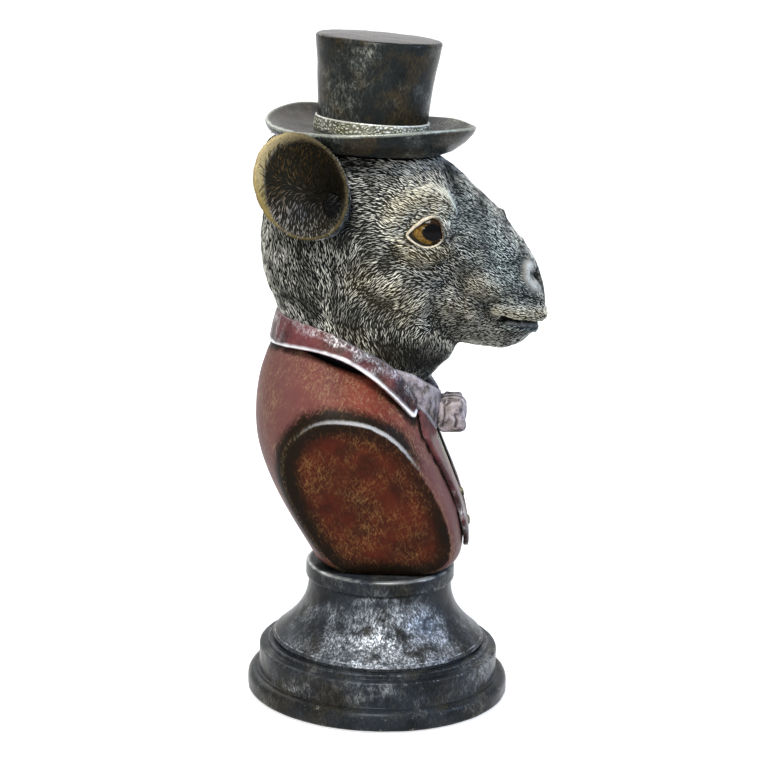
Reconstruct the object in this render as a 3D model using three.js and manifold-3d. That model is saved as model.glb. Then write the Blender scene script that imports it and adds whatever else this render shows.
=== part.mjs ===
// A goat's head in a top hat, with a tailcoat, waistcoat and bow tie, on a round turned pedestal.
// It is cast in painted resin: hollow castings that seat in one another and are glued, with glass eyes,
// a steel tie rod that clamps the pedestal to the bust, a dowel under the hat, and a felt pad underneath.
// Millimetres, +Z up, the goat looks along -Y, and the origin is the middle of the pad's lower face.
import * as THREE from 'three';
import { mergeVertices } from 'three/addons/utils/BufferGeometryUtils.js';
import Module from 'manifold-3d';

const wasm = await Module();
wasm.setup();

// Fits
const glueGap = 0.3;
const rodClearance = 0.3;

// Felt pad
const padRadius = 72;
const padThickness = 1;

// Pedestal foot: a low roll with a rounded shoulder, and a straight tier above it
const rollRadius = 78.9;
const rollHeight = 12.4;
const rollShoulder = 5;
const rollHeel = 2.2;
const tierRadius = 72.2;
const tierHeight = 28.2;
const tierEdge = 1.2;
const footCrownRise = 3.2;
const footCrownEdge = 1.1;
const footCrownInset = 2;
const footWall = 7;
const footFillet = 4;

// Pedestal column: a trumpet that flares down onto the foot over a narrow groove, with a ring at its head
const trumpetFootRadius = 64;
const trumpetLip = 1.4;
const trumpetNeckRadius = 43;
const grooveDepth = 2.2;
const grooveHeight = 1.8;
const columnHeight = 49.6;
const ringRadius = 44.8;
const ringHeight = 9.5;
const ringEdge = 2;
const ringLowerEdge = 1.2;
const ringUndercut = 1.2;
const columnWall = 7;
const spigotRadius = 22;
const spigotHeight = 4;
const spigotCollar = 8;

// Tie rod, washer and nut
const rodRadius = 3;
const rodReach = 22;
const rodEnd = 3;
const rodBossTop = 11;
const rodBossFoot = 13;
const rodBossCover = 4;
const washerRadius = 9;
const washerThickness = 1.6;
const nutAcrossFlats = 10;
const nutHeight = 5;

// Bust: its height runs from the column to the middle of the neck's seat
const bustHeight = 126.75;
const shoulderHalfWidth = 79;
const castingWall = 7;
const bustFloor = 9;
const armCutFoot = 33;
const armCutLean = 15.7;
const chestFullness = 0.84;
const neckSpigotDepth = 12;
const lapelThickness = 3.6;
const waistcoatThickness = 2.2;
const shirtThickness = 1.4;
const buttonRadius = 3.1;
const buttonHeight = 1.9;
const buttonPitch = 17;
const buttonCount = 2;
const firstButtonUp = 43;
const collarThickness = 3.6;
const collarRootDepth = 3;

// Neck band and bow tie
const bandThickness = 3.4;
const bandRootDepth = 2;
const knotHalfWidth = 3.6;
const knotForward = 40.8;
const knotDrop = 33;
const bowReach = 13.5;

// Head: its muzzle's reach is from the pedestal's axis, and its rise from the neck's seat
const muzzleReach = 93;
const headRise = 131.5;
const headHalfWidth = 45;
const eyeRadius = 12;
const eyeForward = 22.8;
const eyeSide = 32;
const eyeUp = 83;
const mouthOpening = 2.2;
const mouthDepth = 5;
const mouthLength = 25;
const mouthHalfWidth = 24;
const mouthUp = 30.2;
const mouthSlope = 15;
const mouthCornerRound = 3;
const nostrilForward = 86.2;
const nostrilSide = 10.8;
const nostrilUp = 53.5;
const earHalfLength = 28;
const earHalfHeight = 31.2;
const leftEarDrop = 2.6;
const dowelRadius = 4;
const dowelDepth = 16;

// Hat: it sinks into the crown of the head, and leans forwards and a little to the goat's left
const hatForward = -12.8;
const hatSink = 8.9;
const hatTilt = 3.4;
const hatRoll = 2.3;
const brimRadius = 61.2;
const brimNarrowing = 0.87;
const brimSetBack = 0.7;
const brimDip = 0.9;
const brimRoll = 0.75;
const brimTwist = 2.6;
const brimThickness = 10;
const brimCurl = 15;
const rimEdge = 1.6;
const rimThickness = 5;
const crownFootRadius = 31.8;
const crownTopRadius = 36.8;
const crownHeight = 55.6;
const crownWall = 4;
const crownEdge = 2;
const lidRise = 1.2;
const bandHeight = 8.5;
const bandProud = 1.2;
const bandEdge = 0.4;

// Mesh fineness
const roundSteps = 32;
const torsoRings = 18;
const headRings = 25;
const neckRings = 12;
const neckSteps = 28;
const bandRings = 27;
const collarRings = 37;
const earSteps = 22;
const bowSteps = 16;

// The side of a cutting block that is larger than the whole part
const cutterSize = 600;

// Finishes
const gunmetal = new THREE.MeshStandardMaterial({ color: 0x3b3f3f, roughness: 0.42, metalness: 0.55 });
const feltGreen = new THREE.MeshStandardMaterial({ color: 0x22301f, roughness: 1, metalness: 0 });
const zincSteel = new THREE.MeshStandardMaterial({ color: 0xa7a9a6, roughness: 0.4, metalness: 0.9 });
const jacketRed = new THREE.MeshStandardMaterial({ color: 0x6b2a26, roughness: 0.45, metalness: 0.2 });
const lapelPlum = new THREE.MeshStandardMaterial({ color: 0x6e3b3c, roughness: 0.4, metalness: 0.25 });
const waistcoatGold = new THREE.MeshStandardMaterial({ color: 0x8a7442, roughness: 0.5, metalness: 0.4 });
const shirtIvory = new THREE.MeshStandardMaterial({ color: 0xb9b0a4, roughness: 0.6, metalness: 0.1 });
const bowMauve = new THREE.MeshStandardMaterial({ color: 0x8f7f86, roughness: 0.6, metalness: 0.15 });
const furPewter = new THREE.MeshStandardMaterial({ color: 0x6d6c60, roughness: 0.5, metalness: 0.45 });
const eyeAmber = new THREE.MeshStandardMaterial({ color: 0x7a5412, roughness: 0.08, metalness: 0 });
const brassButton = new THREE.MeshStandardMaterial({ color: 0x9a7b3a, roughness: 0.35, metalness: 0.8 });
const beechWood = new THREE.MeshStandardMaterial({ color: 0xc9a873, roughness: 0.7, metalness: 0 });

// A point by its distance ahead of the pedestal's axis, out to the goat's left, and up
function at(forward, side, up) {
  return new THREE.Vector3(side, -forward, up);
}

// A closed geometry as a solid, turned so that its faces point out
function solidOf(geometry) {
  const bare = new THREE.BufferGeometry();
  bare.setAttribute('position', geometry.getAttribute('position').clone());
  bare.setIndex(geometry.index);
  const merged = mergeVertices(bare, 1e-4);
  const triVerts = new Uint32Array(merged.index.array);
  const vertProperties = merged.attributes.position.array;
  const made = new wasm.Manifold(new wasm.Mesh({ numProp: 3, vertProperties, triVerts }));
  if (made.volume() >= 0) return made;
  for (let i = 0; i < triVerts.length; i += 3) {
    [triVerts[i + 1], triVerts[i + 2]] = [triVerts[i + 2], triVerts[i + 1]];
  }
  return new wasm.Manifold(new wasm.Mesh({ numProp: 3, vertProperties, triVerts }));
}

function geometryOf(solid) {
  const mesh = solid.getMesh();
  const positions = new Float32Array(mesh.numVert * 3);
  for (let i = 0; i < mesh.numVert; i++) {
    positions.set(mesh.vertProperties.subarray(i * mesh.numProp, i * mesh.numProp + 3), i * 3);
  }
  const geometry = new THREE.BufferGeometry();
  geometry.setAttribute('position', new THREE.BufferAttribute(positions, 3));
  geometry.setIndex(new THREE.BufferAttribute(mesh.triVerts, 1));
  geometry.computeVertexNormals();
  return geometry;
}

// The closed skin over a row of rings that all have as many points, with a fan over each end
function skin(rings) {
  const count = rings[0].length;
  const points = rings.flat();
  const faces = [];
  for (let i = 0; i + 1 < rings.length; i++) {
    for (let j = 0; j < count; j++) {
      const a = i * count + j;
      const b = i * count + ((j + 1) % count);
      faces.push(a, b, b + count, a, b + count, a + count);
    }
  }
  const ends = [rings[0], rings[rings.length - 1]];
  const starts = [0, (rings.length - 1) * count];
  ends.forEach((ring, end) => {
    const middle = new THREE.Vector3();
    ring.forEach((p) => middle.addScaledVector(p, 1 / count));
    const hub = points.push(middle) - 1;
    for (let j = 0; j < count; j++) {
      const a = starts[end] + j;
      const b = starts[end] + ((j + 1) % count);
      if (end === 0) faces.push(hub, b, a);
      else faces.push(hub, a, b);
    }
  });
  const geometry = new THREE.BufferGeometry().setFromPoints(points);
  geometry.setIndex(faces);
  return geometry;
}

// A smooth run of rows through a few given rows of numbers
function smoothRows(rows, count) {
  const columns = rows[0].map((_, k) => rows.map((row) => row[k]));
  const curves = columns.map((column) => {
    const points = column.map((value, i) => new THREE.Vector2(i, value));
    return new THREE.SplineCurve(points);
  });
  return Array.from({ length: count }, (_, i) => curves.map((curve) => curve.getPoint(i / (count - 1)).y));
}

// A drawing's rows of numbers, stretched to the part's own sizes. The kinds say in order what each number
// in a row is: f a place forward, s one out to the side, u one upwards, and l and h an ear's half sizes.
function fitted(drawing, kinds, stretch) {
  return drawing.map((row) => row.map((value, k) => value * (stretch[kinds[k]] ?? 1)));
}

// The largest number in one column of a drawing
function largest(drawing, column) {
  return Math.max(...drawing.map((row) => row[column]));
}

// A turned shape about the vertical axis, from its outline of radius and height
function turned(outline, steps = roundSteps) {
  const points = outline.map(([radius, height]) => new THREE.Vector2(radius, height));
  return new THREE.LatheGeometry([...points, points[0].clone()], steps).rotateX(Math.PI / 2);
}

// Points of a quarter or other arc, as radius and height
function arc(centreRadius, centreUp, radius, from, to, steps) {
  return Array.from({ length: steps + 1 }, (_, i) => {
    const turn = THREE.MathUtils.degToRad(from + ((to - from) * i) / steps);
    return [centreRadius + radius * Math.cos(turn), centreUp + radius * Math.sin(turn)];
  });
}

const root = new THREE.Group();

function addPiece(name, geometry, material, parent = root) {
  const mesh = new THREE.Mesh(geometry, material);
  mesh.name = name;
  parent.add(mesh);
  return mesh;
}

// Felt pad
const pad = new THREE.CylinderGeometry(padRadius, padRadius, padThickness, roundSteps).rotateX(Math.PI / 2);
pad.translate(0, 0, padThickness / 2);
addPiece('felt_pad', pad, feltGreen);

// Pedestal foot
const boreRadius = rodRadius + rodClearance;
const tierTop = padThickness + tierHeight;
const footTop = tierTop + footCrownRise;
const rollTop = padThickness + rollHeight;
const crownLedge = (trumpetFootRadius + tierRadius) / 2 - footCrownInset;
const footPlate = footTop - footWall;
const footOutline = [
  ...arc(rollRadius - rollHeel, padThickness + rollHeel, rollHeel, -90, 0, 3),
  ...arc(rollRadius - rollShoulder, rollTop - rollShoulder, rollShoulder, 0, 90, 5),
  [tierRadius, rollTop],
  ...arc(tierRadius - tierEdge, tierTop - tierEdge, tierEdge, 0, 90, 2),
  [crownLedge + footCrownEdge, footTop - footCrownEdge],
  [crownLedge, footTop],
  [spigotRadius, footTop],
  [spigotRadius, footTop + spigotHeight],
  [boreRadius, footTop + spigotHeight],
  [boreRadius, footPlate],
  [tierRadius - footWall - footFillet, footPlate],
  [tierRadius - footWall, footPlate - footFillet],
  [tierRadius - footWall, padThickness],
];
addPiece('pedestal_foot', turned(footOutline), gunmetal);

// Pedestal column
const columnTop = footTop + columnHeight;
const ringFoot = columnTop - ringHeight;
const lipFoot = footTop + grooveHeight;
const flareFoot = lipFoot + trumpetLip;
const flareHeight = ringFoot - ringUndercut - flareFoot;
const flareSteps = 7;
const flareBend = 2.35;
const flare = Array.from({ length: flareSteps + 1 }, (_, i) => {
  const share = i / flareSteps;
  const radius = trumpetNeckRadius + (trumpetFootRadius - trumpetNeckRadius) * (1 - share) ** flareBend;
  return [radius, flareFoot + flareHeight * share ** 0.96];
});
const hollowTop = columnTop - columnWall;
const hollowRadius = trumpetNeckRadius - columnWall;
const spigotRoof = footTop + spigotHeight + spigotCollar;
const columnOutline = [
  [trumpetFootRadius - grooveDepth, footTop],
  [trumpetFootRadius - grooveDepth, lipFoot],
  [trumpetFootRadius - trumpetLip * 0.4, lipFoot],
  ...flare,
  [trumpetNeckRadius, ringFoot],
  ...arc(ringRadius - ringLowerEdge, ringFoot + ringLowerEdge, ringLowerEdge, -90, 0, 2),
  ...arc(ringRadius - ringEdge, columnTop - ringEdge, ringEdge, 0, 90, 3),
  [boreRadius, columnTop],
  [boreRadius, hollowTop],
  [hollowRadius, hollowTop],
  [hollowRadius, spigotRoof],
  [spigotRadius + glueGap, spigotRoof],
  [spigotRadius + glueGap, footTop],
];
addPiece('pedestal_column', turned(columnOutline), gunmetal);

// Tie rod, washer and nut
const rodFoot = padThickness + rodEnd;
const rodTop = columnTop + rodReach;
const rod = new THREE.CylinderGeometry(rodRadius, rodRadius, rodTop - rodFoot, 16).rotateX(Math.PI / 2);
addPiece('tie_rod', rod.translate(0, 0, (rodTop + rodFoot) / 2), zincSteel);
const washerOutline = [
  [boreRadius, footPlate - washerThickness],
  [washerRadius, footPlate - washerThickness],
  [washerRadius, footPlate],
  [boreRadius, footPlate],
];
addPiece('tie_rod_washer', turned(washerOutline, 24), zincSteel);
const nutTop = footPlate - washerThickness;
const nutShape = new THREE.Shape();
for (let corner = 0; corner < 6; corner++) {
  const turn = (corner * Math.PI) / 3;
  const reach = nutAcrossFlats / Math.sqrt(3);
  const move = corner ? 'lineTo' : 'moveTo';
  nutShape[move](reach * Math.cos(turn), reach * Math.sin(turn));
}
nutShape.closePath();
nutShape.holes.push(new THREE.Path().absarc(0, 0, boreRadius, 0, Math.PI * 2, true));
const nutPressing = { depth: nutHeight, bevelEnabled: false, curveSegments: 12 };
const nut = new THREE.ExtrudeGeometry(nutShape, nutPressing);
addPiece('tie_rod_nut', nut.translate(0, 0, nutTop - nutHeight), zincSteel);

// The jacket's form, before the arms are cut off. Each row is one slice through it, with the forward place
// and height of its back and of its front, and its half width. Heights are above the column.
const jacketDrawing = [
  [-36.5, 0, 40, 0, 38],
  [-40.5, 5, 45, 4, 48],
  [-44, 12, 49, 10, 58],
  [-48.4, 19.5, 49.6, 20, 66],
  [-56.4, 33, 47.8, 33, 74],
  [-64.8, 48.5, 42.4, 50, 79],
  [-71.4, 63.5, 36, 65, 78],
  [-75.8, 78, 29.8, 80, 73.6],
  [-77, 93, 25.8, 93, 66],
  [-75.8, 110, 23.4, 102, 58],
  [-73, 122, 22.2, 107, 51],
  [-69, 132.5, 22, 110.5, 46],
  [-64.5, 141, 23.5, 112.5, 42],
];
const drawnSeat = jacketDrawing[jacketDrawing.length - 1];
const bustStretch = {
  s: shoulderHalfWidth / largest(jacketDrawing, 4),
  u: bustHeight / ((drawnSeat[1] + drawnSeat[3]) / 2),
};
const jacketRows = fitted(jacketDrawing, 'fufus', bustStretch);

// One slice of the jacket or neck, grown by so much all round
function slice([backForward, backUp, frontForward, frontUp, halfWidth], grow, lift, steps) {
  const back = at(backForward, 0, backUp + lift);
  const front = at(frontForward, 0, frontUp + lift);
  const middle = back.clone().add(front).multiplyScalar(0.5);
  const reach = front.clone().sub(middle);
  reach.setLength(reach.length() + grow);
  return Array.from({ length: steps }, (_, j) => {
    const turn = (j / steps) * Math.PI * 2;
    const fullness = Math.cos(turn) > 0 ? chestFullness : 1;
    const point = middle.clone().addScaledVector(reach, rounded(Math.cos(turn), fullness));
    point.x = (halfWidth + grow) * rounded(Math.sin(turn), fullness);
    return point;
  });
}

// A sine or cosine drawn towards a square's as the fullness falls below 1
function rounded(value, fullness) {
  return Math.sign(value) * Math.abs(value) ** fullness;
}

const seatRow = jacketRows[jacketRows.length - 1];
const seatUp = columnTop + bustHeight;
const throatForward = (seatRow[0] + seatRow[2]) / 2;
const seatAcross = at(seatRow[2], 0, seatRow[3]).sub(at(seatRow[0], 0, seatRow[1])).normalize();
const seatNormal = new THREE.Vector3(1, 0, 0).cross(seatAcross).normalize();
if (seatNormal.z < 0) seatNormal.negate();

function jacketForm(grow, steps = roundSteps, rings = torsoRings) {
  const rows = smoothRows(jacketRows, rings);
  const slices = rows.map((row) => slice(row, grow, columnTop, steps));
  return solidOf(skin(slices));
}

// Everything outside the plane that cuts off one arm, drawn in by so much
function armSide(side, inset) {
  const block = new THREE.BoxGeometry(cutterSize, cutterSize, cutterSize);
  block.translate(cutterSize / 2, 0, 0);
  block.rotateY(THREE.MathUtils.degToRad(armCutLean));
  block.translate(armCutFoot - inset, 0, columnTop);
  if (side < 0) block.rotateZ(Math.PI);
  return solidOf(block);
}

function withoutArms(form, inset) {
  return form.subtract(armSide(1, inset)).subtract(armSide(-1, inset));
}

// The casting's hollow, open at the neck, which takes the head's spigot
const aboveFloor = new THREE.BoxGeometry(cutterSize, cutterSize, cutterSize);
aboveFloor.translate(0, 0, columnTop + bustFloor + cutterSize / 2);
const hollowRows = smoothRows(jacketRows, 10);
const hollowSlices = hollowRows.map((row) => slice(row, -castingWall, columnTop, 20));
const hollowMouth = hollowSlices[hollowSlices.length - 1];
hollowSlices.push(hollowMouth.map((p) => p.clone().addScaledVector(seatNormal, castingWall)));
const hollow = withoutArms(solidOf(skin(hollowSlices)), castingWall).intersect(solidOf(aboveFloor));
const holeDepth = rodReach + glueGap;
const rodHole = new THREE.CylinderGeometry(boreRadius, boreRadius, holeDepth * 2, 16).rotateX(Math.PI / 2);
const rodHoleSolid = solidOf(rodHole.translate(0, 0, columnTop));
const bossHeight = rodReach + rodBossCover;
const rodBoss = new THREE.CylinderGeometry(rodBossTop, rodBossFoot, bossHeight, 20).rotateX(Math.PI / 2);
const rodBossSolid = solidOf(rodBoss.translate(0, 0, columnTop + bossHeight / 2 + glueGap));
const jacketOuter = withoutArms(jacketForm(0), 0);
const torsoCasting = jacketOuter.subtract(hollow.subtract(rodBossSolid)).subtract(rodHoleSolid);

// The head, cut into upright slices from the nose back. Each row has the slice's forward place, its top,
// its bottom, the height where it is widest, and its half width. Heights are above the neck's seat.
const headDrawing = [
  [93.0, 37, 29.5, 33, 4],
  [91.8, 43.5, 26, 34, 11.5],
  [89.2, 52.5, 22, 35, 17],
  [85.6, 61, 17.5, 37, 20.5],
  [80, 69.5, 12.2, 39, 23.5],
  [73, 78, 8.6, 42, 25.5],
  [65, 88, 7.6, 46, 27.5],
  [56.5, 96.5, 8.5, 51, 30],
  [47.5, 104.5, 10, 57, 33.5],
  [38, 113, 12, 65, 37.5],
  [26, 121.5, 14.5, 71, 42],
  [11, 128, 18, 72, 44.5],
  [-6, 131.5, 23, 72, 45],
  [-23, 131.5, 31, 72, 44],
  [-39, 128, 43, 76, 41],
  [-53, 119.5, 57, 82, 35.5],
  [-64.5, 107, 72, 88, 27],
  [-70.5, 97, 82, 90, 15],
];
const headFullness = 0.88;
const headStretch = {
  f: muzzleReach / largest(headDrawing, 0),
  s: headHalfWidth / largest(headDrawing, 4),
  u: headRise / largest(headDrawing, 1),
};
const headRows = fitted(headDrawing, 'fuuus', headStretch);

function headSlice([forward, top, bottom, widest, halfWidth], grow, steps) {
  return Array.from({ length: steps }, (_, j) => {
    const turn = (j / steps) * Math.PI * 2;
    const rise = rounded(Math.cos(turn), headFullness);
    const height = rise > 0 ? top + grow - widest : widest - bottom + grow;
    const side = (halfWidth + grow) * rounded(Math.sin(turn), headFullness);
    return at(forward, side, seatUp + widest + rise * height);
  });
}

// Pushes on the head's skin, each with a place, a radius, and a push out to the side, forward and up.
// Each acts on both sides of the face.
const headPushes = [
  { name: 'brow', place: [20, 42, 98], radius: 19, push: [4, 1.5, 1.5] },
  { name: 'hollow before the brow', place: [44, 33, 90], radius: 18, push: [-3.5, -0.5, 0] },
  { name: 'eye socket', place: [24, 44, 84], radius: 13, push: [-2, 0, 0] },
  { name: 'cheekbone', place: [20, 43, 68], radius: 15, push: [3, 0.5, 0] },
  { name: 'jaw muscle', place: [0, 42, 42], radius: 30, push: [5, 0, -1] },
  { name: 'hollow before the jaw', place: [38, 34, 42], radius: 18, push: [-3, 0, 0] },
  { name: 'whisker pad', place: [74, 24, 42], radius: 14, push: [2.5, 0, 0] },
  { name: 'upper whisker ridge', place: [58, 28, 50], radius: 11, push: [2.5, 0, 0] },
  { name: 'mouth corner ridge', place: [50, 28, 36], radius: 12, push: [3, 0, 0] },
  { name: 'nose bridge bump', place: [66, 0, 88], radius: 9, push: [0, 0.6, 0.8] },
  { name: 'nostril wing', place: [83, 17, 60], radius: 10, push: [1.5, 1.5, 0] },
  { name: 'hollow under the temple', place: [-14, 44, 80], radius: 18, push: [-2, 0, 0] },
];

function pushed(point) {
  const moved = point.clone();
  headPushes.forEach(({ place, radius, push }) => {
    const [[forward, side, up]] = fitted([place], 'fsu', headStretch);
    [-1, 1].forEach((hand) => {
      const distance = point.distanceTo(at(forward, side * hand, seatUp + up));
      if (distance >= radius || (side === 0 && hand < 0)) return;
      const share = (1 - (distance / radius) ** 2) ** 2;
      moved.add(at(push[1], push[0] * hand, push[2]).multiplyScalar(share));
    });
  });
  return moved;
}

function headForm(grow, steps = 32, rings = headRings) {
  const slices = smoothRows(headRows, rings).map((row) => headSlice(row, grow, steps));
  return solidOf(skin(slices.map((ring) => ring.map(pushed))));
}

// The neck: rows as the jacket's, with heights above the neck's seat
const neckDrawing = [
  [-61, 13.5, 22, -13.4, 39],
  [-63.5, 26, 26.5, -10.5, 40],
  [-68, 37, 34, -1.5, 43],
  [-73, 50, 42, 8.5, 46],
  [-75.3, 67, 36, 24, 46],
  [-74, 84, 10, 45, 40],
  [-69, 98, -15, 66, 34],
  [-60, 108, -32, 85, 24],
];
const neckStretch = { s: headStretch.s, u: headStretch.u };
const neckRows = fitted(neckDrawing, 'fufus', neckStretch);

function neckForm(grow, withSpigot) {
  const rings = smoothRows(neckRows, neckRings).map((row) => slice(row, grow, seatUp, neckSteps));
  rings[0] = rings[0].map((p) => p.clone().addScaledVector(seatNormal, glueGap - grow));
  if (withSpigot) {
    const plug = slice(seatRow, grow - castingWall - glueGap * 2, columnTop, neckSteps);
    rings.unshift(plug.map((p) => p.clone().addScaledVector(seatNormal, glueGap - grow)));
    rings.unshift(plug.map((p) => p.clone().addScaledVector(seatNormal, -neckSpigotDepth - grow)));
  }
  return solidOf(skin(rings));
}

// Eyes
const eyes = [1, -1].map((side) => at(eyeForward, side * eyeSide, seatUp + eyeUp));

function ball(centre, radius, steps = 16) {
  const geometry = new THREE.SphereGeometry(radius, steps, Math.round(steps * 0.7));
  return geometry.translate(centre.x, centre.y, centre.z);
}

addPiece('eye_left', ball(eyes[0], eyeRadius), eyeAmber);
addPiece('eye_right', ball(eyes[1], eyeRadius), eyeAmber);

// The mouth is a slit that runs back round both sides of the muzzle and rises to its corners
const mouthBack = muzzleReach - mouthLength;
const mouthCore = new THREE.CylinderGeometry(1, 1, mouthOpening * 2, 32).rotateX(Math.PI / 2);
mouthCore.scale(mouthHalfWidth - mouthDepth, mouthLength + mouthCornerRound - mouthDepth, 1);
mouthCore.translate(0, mouthCornerRound, 0);
const mouthSlab = new THREE.BoxGeometry(cutterSize, cutterSize, mouthOpening);
mouthSlab.translate(0, -cutterSize / 2, 0);
[mouthCore, mouthSlab].forEach((cut) => {
  cut.rotateX(THREE.MathUtils.degToRad(mouthSlope)).translate(0, -mouthBack, seatUp + mouthUp);
});
const mouthSlit = solidOf(mouthSlab).subtract(solidOf(mouthCore));
const nostrilHalfSizes = [3.2, 5, 3.4];
const nostrilTurn = 0.6;
const nostrils = [1, -1].map((side) => {
  const pit = new THREE.SphereGeometry(1, 10, 7).scale(...nostrilHalfSizes);
  pit.rotateZ(side * nostrilTurn);
  const middle = at(nostrilForward, side * nostrilSide, seatUp + nostrilUp);
  return solidOf(pit.translate(middle.x, middle.y, middle.z));
});

// Hat brim: a bowl, narrower across than along, whose rim keeps nearly level and is a little twisted.
// Its outlines are radius and height above its seat.
const brimReach = brimRadius - crownFootRadius;
const brimUnderside = [
  [crownFootRadius, 0],
  [crownFootRadius + brimReach * 0.33, brimCurl * 0.07],
  [crownFootRadius + brimReach * 0.6, brimCurl * 0.24],
  [crownFootRadius + brimReach * 0.83, brimCurl * 0.55],
  [crownFootRadius + brimReach * 0.95, brimCurl * 0.8],
  [brimRadius, brimCurl],
];

function brimWarp(geometry) {
  const position = geometry.getAttribute('position');
  const dipSlope = Math.tan(THREE.MathUtils.degToRad(hatTilt - brimDip));
  const rollSlope = Math.tan(THREE.MathUtils.degToRad(hatRoll - brimRoll)) * brimNarrowing;
  for (let i = 0; i < position.count; i++) {
    const x = position.getX(i);
    const y = position.getY(i);
    const radius = Math.hypot(x, y);
    const share = THREE.MathUtils.clamp((radius - crownFootRadius) / brimReach, 0, 1);
    const across = radius > 0 ? x / radius : 0;
    const ahead = radius > 0 ? -y / radius : 0;
    const level = brimRadius * (ahead * dipSlope + across * rollSlope);
    position.setX(i, x * (1 - (1 - brimNarrowing) * share));
    position.setY(i, y + brimSetBack * share);
    position.setZ(i, position.getZ(i) + share * share * (level - brimTwist * 2 * ahead * across));
  }
  return geometry;
}

// Hat frame: everything on the hat is built about its seat, and leans with it
const hatGroup = new THREE.Group();
hatGroup.position.copy(at(hatForward, 0, seatUp + headRise - hatSink));
hatGroup.rotation.x = THREE.MathUtils.degToRad(hatTilt);
hatGroup.rotation.y = THREE.MathUtils.degToRad(hatRoll);
hatGroup.updateMatrixWorld(true);
root.add(hatGroup);

// Head casting, cut to fit round the bowl of the brim, with room for the dowel
const boreOfDowel = dowelRadius + glueGap;
const dowelHole = new THREE.CylinderGeometry(boreOfDowel, boreOfDowel, dowelDepth, 16);
dowelHole.rotateX(Math.PI / 2).translate(0, 0, -dowelDepth / 2);
const hatRoom = brimWarp(turned([
  [0, -glueGap],
  ...brimUnderside.map(([radius, height]) => [radius + glueGap, height - glueGap]),
  [brimRadius + glueGap, cutterSize],
  [0, cutterSize],
]));
const headCuts = [hatRoom, dowelHole].map((cut) => solidOf(cut.applyMatrix4(hatGroup.matrixWorld)));
headCuts.push(...eyes.map((eye) => solidOf(ball(eye, eyeRadius + glueGap))), mouthSlit, ...nostrils);
const headWhole = headForm(0).add(neckForm(0, true));
const headCasting = largestOf(headCuts.reduce((head, cut) => head.subtract(cut), headWhole));
addPiece('head', geometryOf(headCasting), furPewter);
const headRoom = headForm(glueGap).add(neckForm(glueGap, false));
const torso = torsoCasting.subtract(headForm(glueGap)).subtract(neckForm(glueGap, true));
addPiece('torso', geometryOf(largestOf(torso)), jacketRed);

// Ears: rings from the root out to the rim and back down inside the cup. Each row has the ring's middle,
// forward, out to the side and up from the neck's seat, and its half length and half height.
const earDrawing = [
  [-32, 28, 96, 6, 8],
  [-35.5, 37, 98.5, 13, 16],
  [-40, 46, 102.5, 18.6, 23],
  [-44.5, 54, 106.5, 23, 27.5],
  [-48, 60, 109.8, 26.4, 30.2],
  [-50, 63.4, 111.2, 28, 31.2],
  [-50.4, 64.8, 111.5, 27, 30.4],
  [-49.2, 62.8, 111.2, 23.6, 28],
  [-46, 57.5, 109, 19.6, 24.6],
  [-42, 51, 106, 15, 20],
  [-38, 44.5, 102, 9.6, 13.6],
  [-35, 38.5, 99, 4, 6],
];
const earStretch = {
  ...headStretch,
  l: earHalfLength / largest(earDrawing, 3),
  h: earHalfHeight / largest(earDrawing, 4),
};
const earRows = fitted(earDrawing, 'fsulh', earStretch);
const earAlong = at(-0.93, 0.36, 0.05).normalize();
const earUpright = at(-0.17, 0.03, 0.98).normalize();

function earForm(side, drop) {
  const rings = earRows.map(([forward, out, up, halfLength, halfHeight]) => {
    const middle = at(forward, out, seatUp + up - drop);
    return Array.from({ length: earSteps }, (_, j) => {
      const turn = (j / earSteps) * Math.PI * 2;
      const point = middle.clone().addScaledVector(earAlong, halfLength * Math.cos(turn));
      point.addScaledVector(earUpright, halfHeight * Math.sin(turn));
      return point;
    });
  });
  const mirrored = rings.map((ring) => ring.map((p) => new THREE.Vector3(p.x * side, p.y, p.z)));
  return solidOf(skin(mirrored));
}

function largestOf(solid) {
  const bodies = solid.decompose();
  return bodies.reduce((best, body) => (body.volume() > best.volume() ? body : best));
}

addPiece('ear_left', geometryOf(largestOf(earForm(1, leftEarDrop).subtract(headRoom))), furPewter);
addPiece('ear_right', geometryOf(largestOf(earForm(-1, 0).subtract(headRoom))), furPewter);

// A strip that follows two edges, an upper and a lower one, with its thickness set inwards from them.
// Each row has the forward place, side and height of the upper edge, then of the lower edge.
const stripRoll = 1.2;
const stripBelly = 0.4;

function stripForm(rows, thickness, rootDepth, grow, count) {
  const rings = smoothRows(rows, count).map(([uf, us, uu, lf, ls, lu]) => {
    const upper = at(uf, us, uu);
    const lower = at(lf, ls, lu);
    const middle = at(throatForward, 0, 0);
    const inUpper = new THREE.Vector3(middle.x - upper.x, middle.y - upper.y, 0).normalize();
    const inLower = new THREE.Vector3(middle.x - lower.x, middle.y - lower.y, 0).normalize();
    const down = lower.clone().sub(upper).normalize();
    const ring = [
      upper.clone().addScaledVector(down, stripRoll).addScaledVector(inUpper, -grow),
      upper.clone().lerp(lower, 0.5).addScaledVector(inLower, -stripBelly - grow),
      lower.clone().addScaledVector(down, -stripRoll).addScaledVector(inLower, -grow),
      lower.clone().addScaledVector(down, grow).addScaledVector(inLower, thickness * 0.4),
      lower.clone().addScaledVector(down, grow).addScaledVector(inLower, thickness + grow),
      lower.clone().lerp(upper, 0.5).addScaledVector(inUpper, rootDepth + grow),
      upper.clone().addScaledVector(down, -grow).addScaledVector(inUpper, rootDepth + grow),
      upper.clone().addScaledVector(down, -grow).addScaledVector(inUpper, thickness * 0.5),
    ];
    return ring;
  });
  if (grow > 0) {
    [[0, 1], [rings.length - 1, rings.length - 2]].forEach(([end, next]) => {
      rings[end] = rings[end].map((p, j) => {
        const away = p.clone().sub(rings[next][j]).normalize();
        return p.clone().addScaledVector(away, grow);
      });
    });
  }
  return solidOf(skin(rings));
}

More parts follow.
